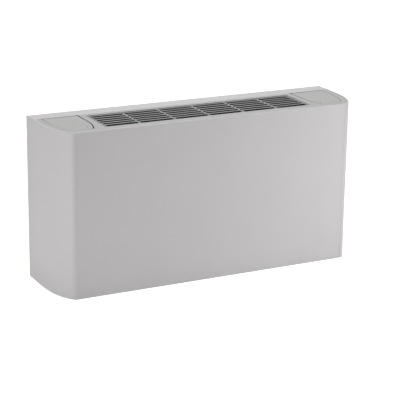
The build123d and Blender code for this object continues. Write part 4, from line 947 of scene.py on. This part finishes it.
@dataclass
class OutletGrille:
    """Long blades with oval tops, held by cross ribs and two end bars; the blades are darkened with painted shade."""

    blades: int = 6
    blade_width: float = 9.0 * MM
    blade_foot: float = 2.2 * MM
    blade_draw: float = 7.0
    front_gap: float = 20.0 * MM
    rear_gap: float = 3.5 * MM
    crown: float = 1.0 * MM
    ribs: int = 5
    rib_width: float = 4.5 * MM
    rib_drop: float = 0.3 * MM
    blade_rise: float = 1.6 * MM
    end_bar: float = 9.0 * MM
    fit: float = 0.4 * MM

    def blade_section(self, y: float, z_range: tuple[float, float]) -> np.ndarray:
        """Cross-section of a blade: a half oval on top, and sides that draw in by a power law to a rounded foot.

        Args:
            y: Y of the blade's middle.
            z_range: Heights of the foot and the crown.

        Returns:
            The closed section in Y and Z.
        """
        half, foot = self.blade_width / 2, self.blade_foot / 2
        angle = np.linspace(0, math.pi, 17)
        top = np.column_stack((y + half * np.cos(angle), z_range[1] + self.crown * (np.sin(angle) - 1)))
        place = np.linspace(0, 1, 14)[1:] ** 2
        width = foot + (half - foot) * (1 - place) ** self.blade_draw
        height = z_range[1] - self.crown + (z_range[0] - z_range[1] + self.crown + foot) * place
        rear = np.column_stack((y - width, height))
        angle = np.linspace(math.pi, 2 * math.pi, 9)[1:-1]
        bottom = np.column_stack((y + foot * np.cos(angle), z_range[0] + foot * (1 + np.sin(angle))))
        front = np.column_stack((y + width, height))[::-1]
        return np.vstack((top, rear, bottom, front))

    def build(self, shop: Workshop) -> None:
        """Adds the blades with the end bars, and the ribs."""
        low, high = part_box("outlet_grille")
        bottom, top = low.z, high.z + self.blade_rise
        inner = high.x - self.end_bar + 0.5 * MM
        first = low.y - self.fit + self.front_gap + self.blade_width / 2
        last = high.y + self.fit - self.rear_gap - self.blade_width / 2
        middles = np.linspace(first, last, self.blades)
        blades = [bar(0, (-inner, inner), self.blade_section(y, (bottom, top))) for y in middles]
        pitch = (high.x - low.x + 2 * self.fit) / (self.ribs + 1)
        bars = []
        rib_top = top - self.rib_drop
        for index in range(self.ribs):
            x = (index + 1) * pitch + low.x - self.fit
            half = self.rib_width / 2
            section = rounded_rectangle((x - half, bottom), (x + half, rib_top), 1.4 * MM, 5)
            bars.append(bar(1, (low.y, high.y), section))
        for x in (low.x, high.x - self.end_bar):
            section = guarded(rounded_rectangle((x, bottom), (x + self.end_bar, rib_top), 1.0 * MM, 5))
            blades.append(bar(1, (low.y + 2.4 * MM, high.y - 2.4 * MM), section))
        # Painted shade: the blades take the dark grille tone, while the ribs of the same moulding keep the cover tone.
        shop.add("louvre_blades", blades, Slot.GRILLE, "cabinet", ("outlet_grille",))
        shop.add("louvre_ribs", bars, Slot.COVER, "cabinet")


@dataclass
class DuctLining:
    """A dark sheet in the foam finish on the inner faces of the outlet duct's front and rear walls: painted shade that
    darkens the gaps between the blades.
    """

    thickness: float = 1.9 * MM
    edge: float = 0.5 * MM
    fit: float = 0.4 * MM

    def build(self, shop: Workshop) -> None:
        """Adds one dark sheet of painted shade below each long side of the outlet, between the cheeks."""
        low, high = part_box("outlet_grille")
        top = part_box("top_cover")[0].z - self.fit
        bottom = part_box("duct_front_wall")[0].z + 2 * self.thickness
        reach = high.x - self.fit
        sheets = []
        for y in (low.y - self.fit - self.thickness, high.y + self.fit):
            section = rounded_rectangle((y, bottom), (y + self.thickness, top), self.edge, 4)
            sheets.append(bar(0, (-reach, reach), section))
        # Painted shade: a black sheet placed where the outlet only has shade.
        shop.add("outlet_shade_sheet", sheets, Slot.FOAM, "cabinet")


@dataclass
class EndFlap:
    """A hinged flap: crowned lip all round, two hinge barrels and webs below its rear edge."""

    flap: FlapPlan
    thickness: float = 2.5 * MM
    lip: float = 0.9 * MM
    barrel_radius: float = 3.0 * MM
    barrel_length: float = 14 * MM
    setback: float = 3.0 * MM
    drop: float = 5.2 * MM
    finger_gap: float = 2.0 * MM

    def shells(self, top: float) -> list[Shell]:
        """The right flap's lid, barrels and webs."""
        plan = replace(self.flap, inner=self.flap.inner + self.finger_gap)
        outline = plan.outline(0.0, 0.0, plan.grip, plan.corner)
        lid = sheet(outline, [], (top - self.thickness, top), (self.lip, self.lip))
        centres, radii = self.flap.plan.arcs()
        outer = float(centres[0, 0] + radii[0]) - self.flap.margin
        y, z = self.flap.rear - self.setback, top - self.drop
        edge = 0.4 * MM
        length = self.barrel_length
        radius = self.barrel_radius
        profile = np.array([(0, radius - edge), (edge, radius), (length - edge, radius), (length, radius - edge)])
        shells = [lid]
        for x in (self.flap.inner, outer - length):
            shells.append(turned(0, (x, y, z), profile, 32))
            web = rounded_rectangle((y - radius, z), (y + self.setback - 0.5 * MM, top - self.thickness + 0.2 * MM), 0.3 * MM, 3)
            shells.append(bar(0, (x + edge, x + length - edge), web))
        return shells

    def build(self, shop: Workshop) -> None:
        """Adds both flaps."""
        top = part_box("right_flap")[1].z
        shells = self.shells(top)
        shop.add("right_lid", shells, Slot.COVER, "right_flap", ("right_flap",))
        shop.add("left_lid", [mirrored(s) for s in shells], Slot.COVER, "left_flap", ("left_flap",))


@dataclass
class FlapWell:
    """A compartment below a flap: a floor with its cut-outs, a wall that follows the opening, and the catch post."""

    flap: FlapPlan
    node: str
    name: str
    step: float = 1.5 * MM
    wall: float = 2.0 * MM
    rear_corner: float = 0.8 * MM
    edge: float = 0.4 * MM
    cutout_fit: float = 0.3 * MM
    post_radius: float = 6.0 * MM
    spindle_radius: float = 3.0 * MM

    def floor_holes(self) -> list[np.ndarray]:
        """Cut-outs of the floor, seen on the right side: for the switch and two spindles, or for the button."""
        if self.node == "service_well":
            low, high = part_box("reset_button")
            return [self.bore("reset_button", (high.x - low.x) / 2)]
        low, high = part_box("switch_housing")
        inset = self.wall
        span = sorted((abs(low.x), abs(high.x)))
        near, far = (span[0] + inset, low.y + inset), (span[1] - inset, high.y - inset)
        bores = [self.bore(node, self.spindle_radius) for node in ("thermostat_knob", "speed_knob")]
        return [rounded_rectangle(near, far, self.edge, 4), *bores]

    def bore(self, node: str, radius: float) -> np.ndarray:
        """A round cut-out about a node's middle, wider than the radius by the fit."""
        low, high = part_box(node)
        middle = (abs(low.x + high.x) / 2, (low.y + high.y) / 2)
        return arc(middle, radius + self.cutout_fit, 0, 2 * math.pi, 33)[:-1]

    def wall_shell(self, inner: np.ndarray, z_range: tuple[float, float]) -> Shell:
        """The wall along the opening, with an open notch on both sides where the hinge pins rest.

        Each ring is the wall's section. Rings whose Y lies within the pin's radius and fit have their upper half
        lowered to the notch.

        Args:
            inner: Outline of the wall's inner face.
            z_range: Heights of the wall's foot and top.

        Returns:
            The wall's shell.
        """
        pin_low, pin_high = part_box("right_flap_pins")
        middle = (pin_low.y + pin_high.y) / 2
        reach = (pin_high.z - pin_low.z) / 2 + self.cutout_fit
        for level in (middle - reach - self.edge, middle - reach, middle + reach, middle + reach + self.edge):
            inner = crossed(inner, level)
        section = guarded(rounded_rectangle((0.0, z_range[0]), (self.wall, z_range[1]), self.edge, 4))
        normal = outward(inner)
        rings = np.empty((len(inner), len(section), 3))
        rings[:, :, :2] = inner[:, None, :] + section[None, :, :1] * normal[:, None, :]
        inside = (np.abs(inner[:, 1] - middle) < reach + self.edge / 2)[:, None]
        upper = (section[:, 1] > (z_range[0] + z_range[1]) / 2)[None, :]
        drop = z_range[1] - (pin_low.z - self.cutout_fit)
        rings[:, :, 2] = section[:, 1] - drop * (inside & upper)
        return loft(rings, closed=True)

    def build(self, shop: Workshop) -> None:
        """Adds the compartment, mirrored for the left side."""
        low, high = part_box(self.node)
        rear = high.y - self.wall - self.flap.rear
        inner = self.flap.outline(self.step, rear, self.flap.corner, self.rear_corner)
        rim = self.edge / 2
        covered = inner + outward(inner) * self.wall / 2
        floor = sheet(covered, self.floor_holes(), (low.z + rim, low.z + self.wall), (rim, rim))
        clip_low, clip_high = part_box("left_catch_clip")
        clip = (abs(clip_low.x + clip_high.x) / 2, (clip_low.y + clip_high.y) / 2)
        height = clip_low.z - low.z - self.wall
        shoulder = self.post_radius - self.edge
        profile = np.array([(0, self.post_radius), (height - self.edge, self.post_radius), (height, shoulder)])
        post = turned(2, (*clip, low.z + self.wall), profile)
        shells = [self.wall_shell(inner, (low.z, high.z)), floor, post]
        if high.x < 0:
            shells = [mirrored(shell) for shell in shells]
        shop.add(self.name, shells, Slot.WELL, "cabinet", (self.node,))


@dataclass
class ControlKnob:
    """A fluted skirt, a raised grip bar with waisted sides, and a white pointer line."""

    node: str
    body: str
    name: str
    flutes: int = 36
    flute_depth: float = 0.35 * MM
    grip_width: float = 6.0 * MM
    skirt_height: float = 3.0 * MM
    pointer_rise: float = 0.1 * MM

    def build(self, shop: Workshop) -> None:
        """Adds the knob and its pointer."""
        low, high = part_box(self.node)
        x, y = (low.x + high.x) / 2, (low.y + high.y) / 2
        radius = (high.x - low.x) / 2
        top = high.z
        base = top - 12 * MM
        steps = np.linspace(0, math.pi / 2, 5)
        round_edge = 0.8 * MM
        skirt_top = base + self.skirt_height
        heights = np.concatenate(([base], skirt_top - round_edge + round_edge * np.sin(steps), [skirt_top + 0.05 * MM]))
        inset = np.concatenate(([0.0], round_edge * (1 - np.cos(steps)), [radius * 0.55]))
        angle = np.linspace(0, 2 * math.pi, self.flutes * 6, endpoint=False)
        ripple = self.flute_depth * (0.5 + 0.5 * np.cos(self.flutes * angle))
        ring = radius - inset[:, None] - ripple[None, :]
        rings = np.empty((len(heights), len(angle), 3))
        rings[:, :, 0] = x + ring * np.cos(angle)
        rings[:, :, 1] = y + ring * np.sin(angle)
        rings[:, :, 2] = heights[:, None]
        grip = self.grip(x, y, radius * 0.93, skirt_top - 0.3 * MM, top)
        spindle = bar(2, (low.z, base + 0.2 * MM), arc((x, y), 3.0 * MM, 0, 2 * math.pi, 33)[:-1])
        shop.add(self.name, [loft(rings), grip, spindle], Slot.KNOB, self.body, (self.node,))
        line = rounded_rectangle((x - 0.5 * MM, y - radius * 0.88), (x + 0.5 * MM, y - radius * 0.35), 0.4 * MM, 4)
        shop.add(self.name + "_pointer", [bar(2, (top - 0.3 * MM, top + self.pointer_rise), line)], Slot.CERAMIC, self.body)

    def grip(self, x: float, y: float, reach: float, z: float, top: float) -> Shell:
        """The grip bar: an outline whose half width swells towards both ends, closed by a rounded top.

        Along the bar the half width is the grip's half times (0.8 plus 0.2 times the squared place), and both ends
        are closed by the square root of one minus the place to the sixth.
        """
        place = np.linspace(-1, 1, 25)
        half = self.grip_width / 2 * (0.8 + 0.2 * place**2) * np.sqrt(1 - np.abs(place) ** 6 * 0.98)
        outline = np.vstack((np.column_stack((half, place * reach)), np.column_stack((-half, place * reach))[::-1]))
        turn = np.linspace(0, math.pi / 2, 5)
        edge = 1.0 * MM
        heights = np.concatenate(([z], top - edge + edge * np.sin(turn)))
        shrink = np.concatenate(([0.0], edge * (1 - np.cos(turn))))
        rings = np.empty((len(heights), len(outline), 3))
        scale = 1 - shrink[:, None] / np.array([self.grip_width / 2, reach])
        rings[:, :, :2] = outline[None] * scale[:, None, :] + np.array([x, y])
        rings[:, :, 2] = heights[:, None]
        return loft(rings)


@dataclass
class ControlMarks:
    """Scale ticks and plain numerals round the two knobs, and the signs beside the rocker switch."""

    numeral: float = 4.6 * MM
    numeral_gap: float = 3.2 * MM
    tick_length: float = 2.4 * MM
    tick_width: float = 0.5 * MM
    thickness: float = 0.1 * MM
    steps: dict[str, int] = field(default_factory=lambda: {"thermostat_knob": 7, "speed_knob": 4})
    sweeps: dict[str, float] = field(default_factory=lambda: {"thermostat_knob": 270.0, "speed_knob": 135.0})

    def build(self, shop: Workshop) -> None:
        """Adds the ticks and the numerals on the control well's floor."""
        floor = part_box("switch_housing")[1].z - 1.6 * MM
        ticks: list[Shell] = []
        marks: list[tuple[str, float, float]] = []
        for node, count in self.steps.items():
            low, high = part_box(node)
            centre = np.array([(low.x + high.x) / 2, (low.y + high.y) / 2])
            radius = (high.x - low.x) / 2 + 1.2 * MM
            for index in range(count):
                turn = -math.pi / 2 - math.radians(self.sweeps[node]) * index / (count - 1)
                ray = np.array([math.cos(turn), math.sin(turn)])
                across = np.array([-ray[1], ray[0]]) * self.tick_width / 2
                near, far = centre + ray * radius, centre + ray * (radius + self.tick_length)
                loop = np.array([near - across, far - across, far + across, near + across])
                spot = far + ray * self.numeral_gap
                marks.append((str(index), float(spot[0]), float(spot[1])))
                ticks.append(bar(2, (floor, floor + self.thickness), loop))
        rocker_low, rocker_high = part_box("switch_housing")
        middle = (rocker_low.y + rocker_high.y) / 2
        marks.append(("I", rocker_high.x + self.numeral, middle))
        shop.add("control_ticks", ticks, Slot.CERAMIC, "cabinet")
        shop.lettering("control_signs", marks, self.numeral, floor, "cabinet")


@dataclass(frozen=True)
class Softbox:
    """A rectangular soft lamp: its name, place in metres, width, height and power in watts."""

    name: str
    place: tuple[float, float, float]
    width: float
    height: float
    power: float


@dataclass
class Studio:
    """Pale floor, white surroundings, soft lamps and the camera."""

    height: float
    lens: float = 135.0
    yaw: float = 26.98
    pitch: float = 16.97
    roll: float = 0.76
    eye: tuple[float, float, float] = (-1.947, -3.848, 1.524)
    sensor: float = 36.0
    ambient: float = 0.06
    floor_tone: float = 0.8
    floor_glow: float = 0.77
    glow_span: tuple[float, float] = (0.9, 3.0)
    softboxes: tuple[Softbox, ...] = (
        Softbox("side_softbox", (-2.2, -0.6, 0.34), 0.8, 0.6, 16.6),
        Softbox("front_right_softbox", (1.3, -1.2, 0.3), 0.8, 0.5, 11.0),
        Softbox("low_front_softbox", (0.2, -1.6, 0.13), 1.6, 0.2, 2.5),
        Softbox("overhead_softbox", (0.0, 0.1, 2.9), 1.6, 1.6, 58.0),
    )

    @staticmethod
    def seen(tree: bpy.types.NodeTree) -> bpy.types.NodeSocket:
        """A socket that is one for rays from the camera and for those that a surface mirrors or lets through."""
        path = tree.nodes.new("ShaderNodeLightPath")
        socket = path.outputs["Is Camera Ray"]
        for other in ("Is Glossy Ray", "Is Transmission Ray"):
            either = tree.nodes.new("ShaderNodeMath")
            either.operation = "MAXIMUM"
            tree.links.new(socket, either.inputs[0])
            tree.links.new(path.outputs[other], either.inputs[1])
            socket = either.outputs[0]
        return socket

    def floor(self) -> None:
        """A wide pale floor that shows white where it is lit and keeps a soft shadow."""
        size = 40.0
        mesh = bpy.data.meshes.new("floor")
        corner = size / 2
        mesh.from_pydata([(-corner, -corner, 0), (corner, -corner, 0), (corner, corner, 0), (-corner, corner, 0)], [], [(0, 1, 2, 3)])
        floor = bpy.data.objects.new("floor", mesh)
        bpy.context.scene.collection.objects.link(floor)
        material = bpy.data.materials.new("studio_floor")
        material.use_nodes = True
        tree = material.node_tree
        shader = tree.nodes["Principled BSDF"]
        shader.inputs["Roughness"].default_value = 0.9
        shader.inputs["Base Color"].default_value = (self.floor_tone, self.floor_tone, self.floor_tone, 1.0)
        noise = tree.nodes.new("ShaderNodeTexNoise")
        noise.inputs["Scale"].default_value = 60.0
        bump = tree.nodes.new("ShaderNodeBump")
        bump.inputs["Distance"].default_value = 1e-5
        tree.links.new(noise.outputs["Fac"], bump.inputs["Height"])
        tree.links.new(bump.outputs["Normal"], shader.inputs["Normal"])
        place = tree.nodes.new("ShaderNodeTexCoord")
        distance = tree.nodes.new("ShaderNodeVectorMath")
        distance.operation = "LENGTH"
        tree.links.new(place.outputs["Object"], distance.inputs[0])
        glow = tree.nodes.new("ShaderNodeMapRange")
        glow.inputs["From Min"].default_value = self.glow_span[0]
        glow.inputs["From Max"].default_value = self.glow_span[1]
        glow.inputs["To Min"].default_value = self.floor_glow
        glow.inputs["To Max"].default_value = 1.0
        tree.links.new(distance.outputs["Value"], glow.inputs["Value"])
        strength = tree.nodes.new("ShaderNodeMath")
        strength.operation = "MULTIPLY"
        tree.links.new(glow.outputs["Result"], strength.inputs[1])
        tree.links.new(self.seen(tree), strength.inputs[0])
        shader.inputs["Emission Color"].default_value = (1.0, 1.0, 1.0, 1.0)
        tree.links.new(strength.outputs[0], shader.inputs["Emission Strength"])
        mesh.materials.append(material)
        floor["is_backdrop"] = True

    def world(self) -> None:
        """White surroundings for the camera, and a plain pale light for everything else."""
        world = bpy.data.worlds.new("surroundings")
        bpy.context.scene.world = world
        world.use_nodes = True
        tree = world.node_tree
        background = tree.nodes["Background"]
        background.inputs["Color"].default_value = (1.0, 1.0, 1.0, 1.0)
        level = tree.nodes.new("ShaderNodeMapRange")
        level.inputs["To Min"].default_value = self.ambient
        level.inputs["To Max"].default_value = 1.0
        tree.links.new(self.seen(tree), level.inputs["Value"])
        tree.links.new(level.outputs["Result"], background.inputs["Strength"])

    def lamp(self, softbox: Softbox) -> None:
        """Places a softbox and aims it at the cabinet's middle.

        Args:
            softbox: The lamp to place.
        """
        light = bpy.data.lights.new(softbox.name, "AREA")
        light.shape = "RECTANGLE"
        light.size = softbox.width
        light.size_y = softbox.height
        light.energy = softbox.power
        lamp = bpy.data.objects.new(softbox.name, light)
        target = Vector((0.0, 0.0, self.height / 2))
        lamp.location = softbox.place
        lamp.rotation_euler = (target - lamp.location).to_track_quat("-Z", "Y").to_euler()
        bpy.context.scene.collection.objects.link(lamp)

    def camera(self) -> None:
        """The camera at the photograph's viewing angle, from the fitted yaw, pitch and roll."""
        data = bpy.data.cameras.new("camera")
        data.sensor_width = self.sensor
        data.lens = self.lens
        data.clip_end = 100.0
        camera = bpy.data.objects.new("camera", data)
        camera.location = self.eye
        yaw, pitch, roll = (math.radians(angle) for angle in (self.yaw, self.pitch, self.roll))
        forward = Vector((math.sin(yaw) * math.cos(pitch), math.cos(yaw) * math.cos(pitch), -math.sin(pitch)))
        turn = forward.to_track_quat("-Z", "Y").to_matrix()
        camera.rotation_euler = (turn @ Matrix.Rotation(roll, 3, "Z")).to_euler()
        bpy.context.scene.collection.objects.link(camera)
        bpy.context.scene.camera = camera

    def build(self) -> None:
        """Sets the whole stage."""
        self.floor()
        self.world()
        for softbox in self.softboxes:
            self.lamp(softbox)
        self.camera()
        bpy.context.scene.view_settings.view_transform = "Standard"


def main() -> None:
    """Builds every piece round the frame, then the stage."""
    logging.basicConfig(level=logging.INFO, format="%(message)s")
    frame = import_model()
    cad_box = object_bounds()
    shop = Workshop(frame)
    low, high = (np.array(corner) for corner in cad_box)
    width, depth, height = (high - low).tolist()
    plan = BowPlan(width, depth)
    flap_low, flap_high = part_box("right_flap")
    flap = FlapPlan(plan, flap_low.x, flap_low.y, flap_high.y)
    Cabinet(plan, height).build(shop)
    TopCover(plan, flap).build(shop)
    OutletGrille().build(shop)
    # Dark sheets of painted shade inside the outlet.
    DuctLining().build(shop)
    EndFlap(flap).build(shop)
    FlapWell(flap, "control_well", "control_compartment").build(shop)
    FlapWell(flap, "service_well", "service_compartment").build(shop)
    ControlKnob("thermostat_knob", "thermostat_knob", "thermostat_dial").build(shop)
    ControlKnob("speed_knob", "speed_knob", "speed_dial").build(shop)
    ControlMarks().build(shop)
    Studio(height).build()


if __name__ == "__main__":
    main()
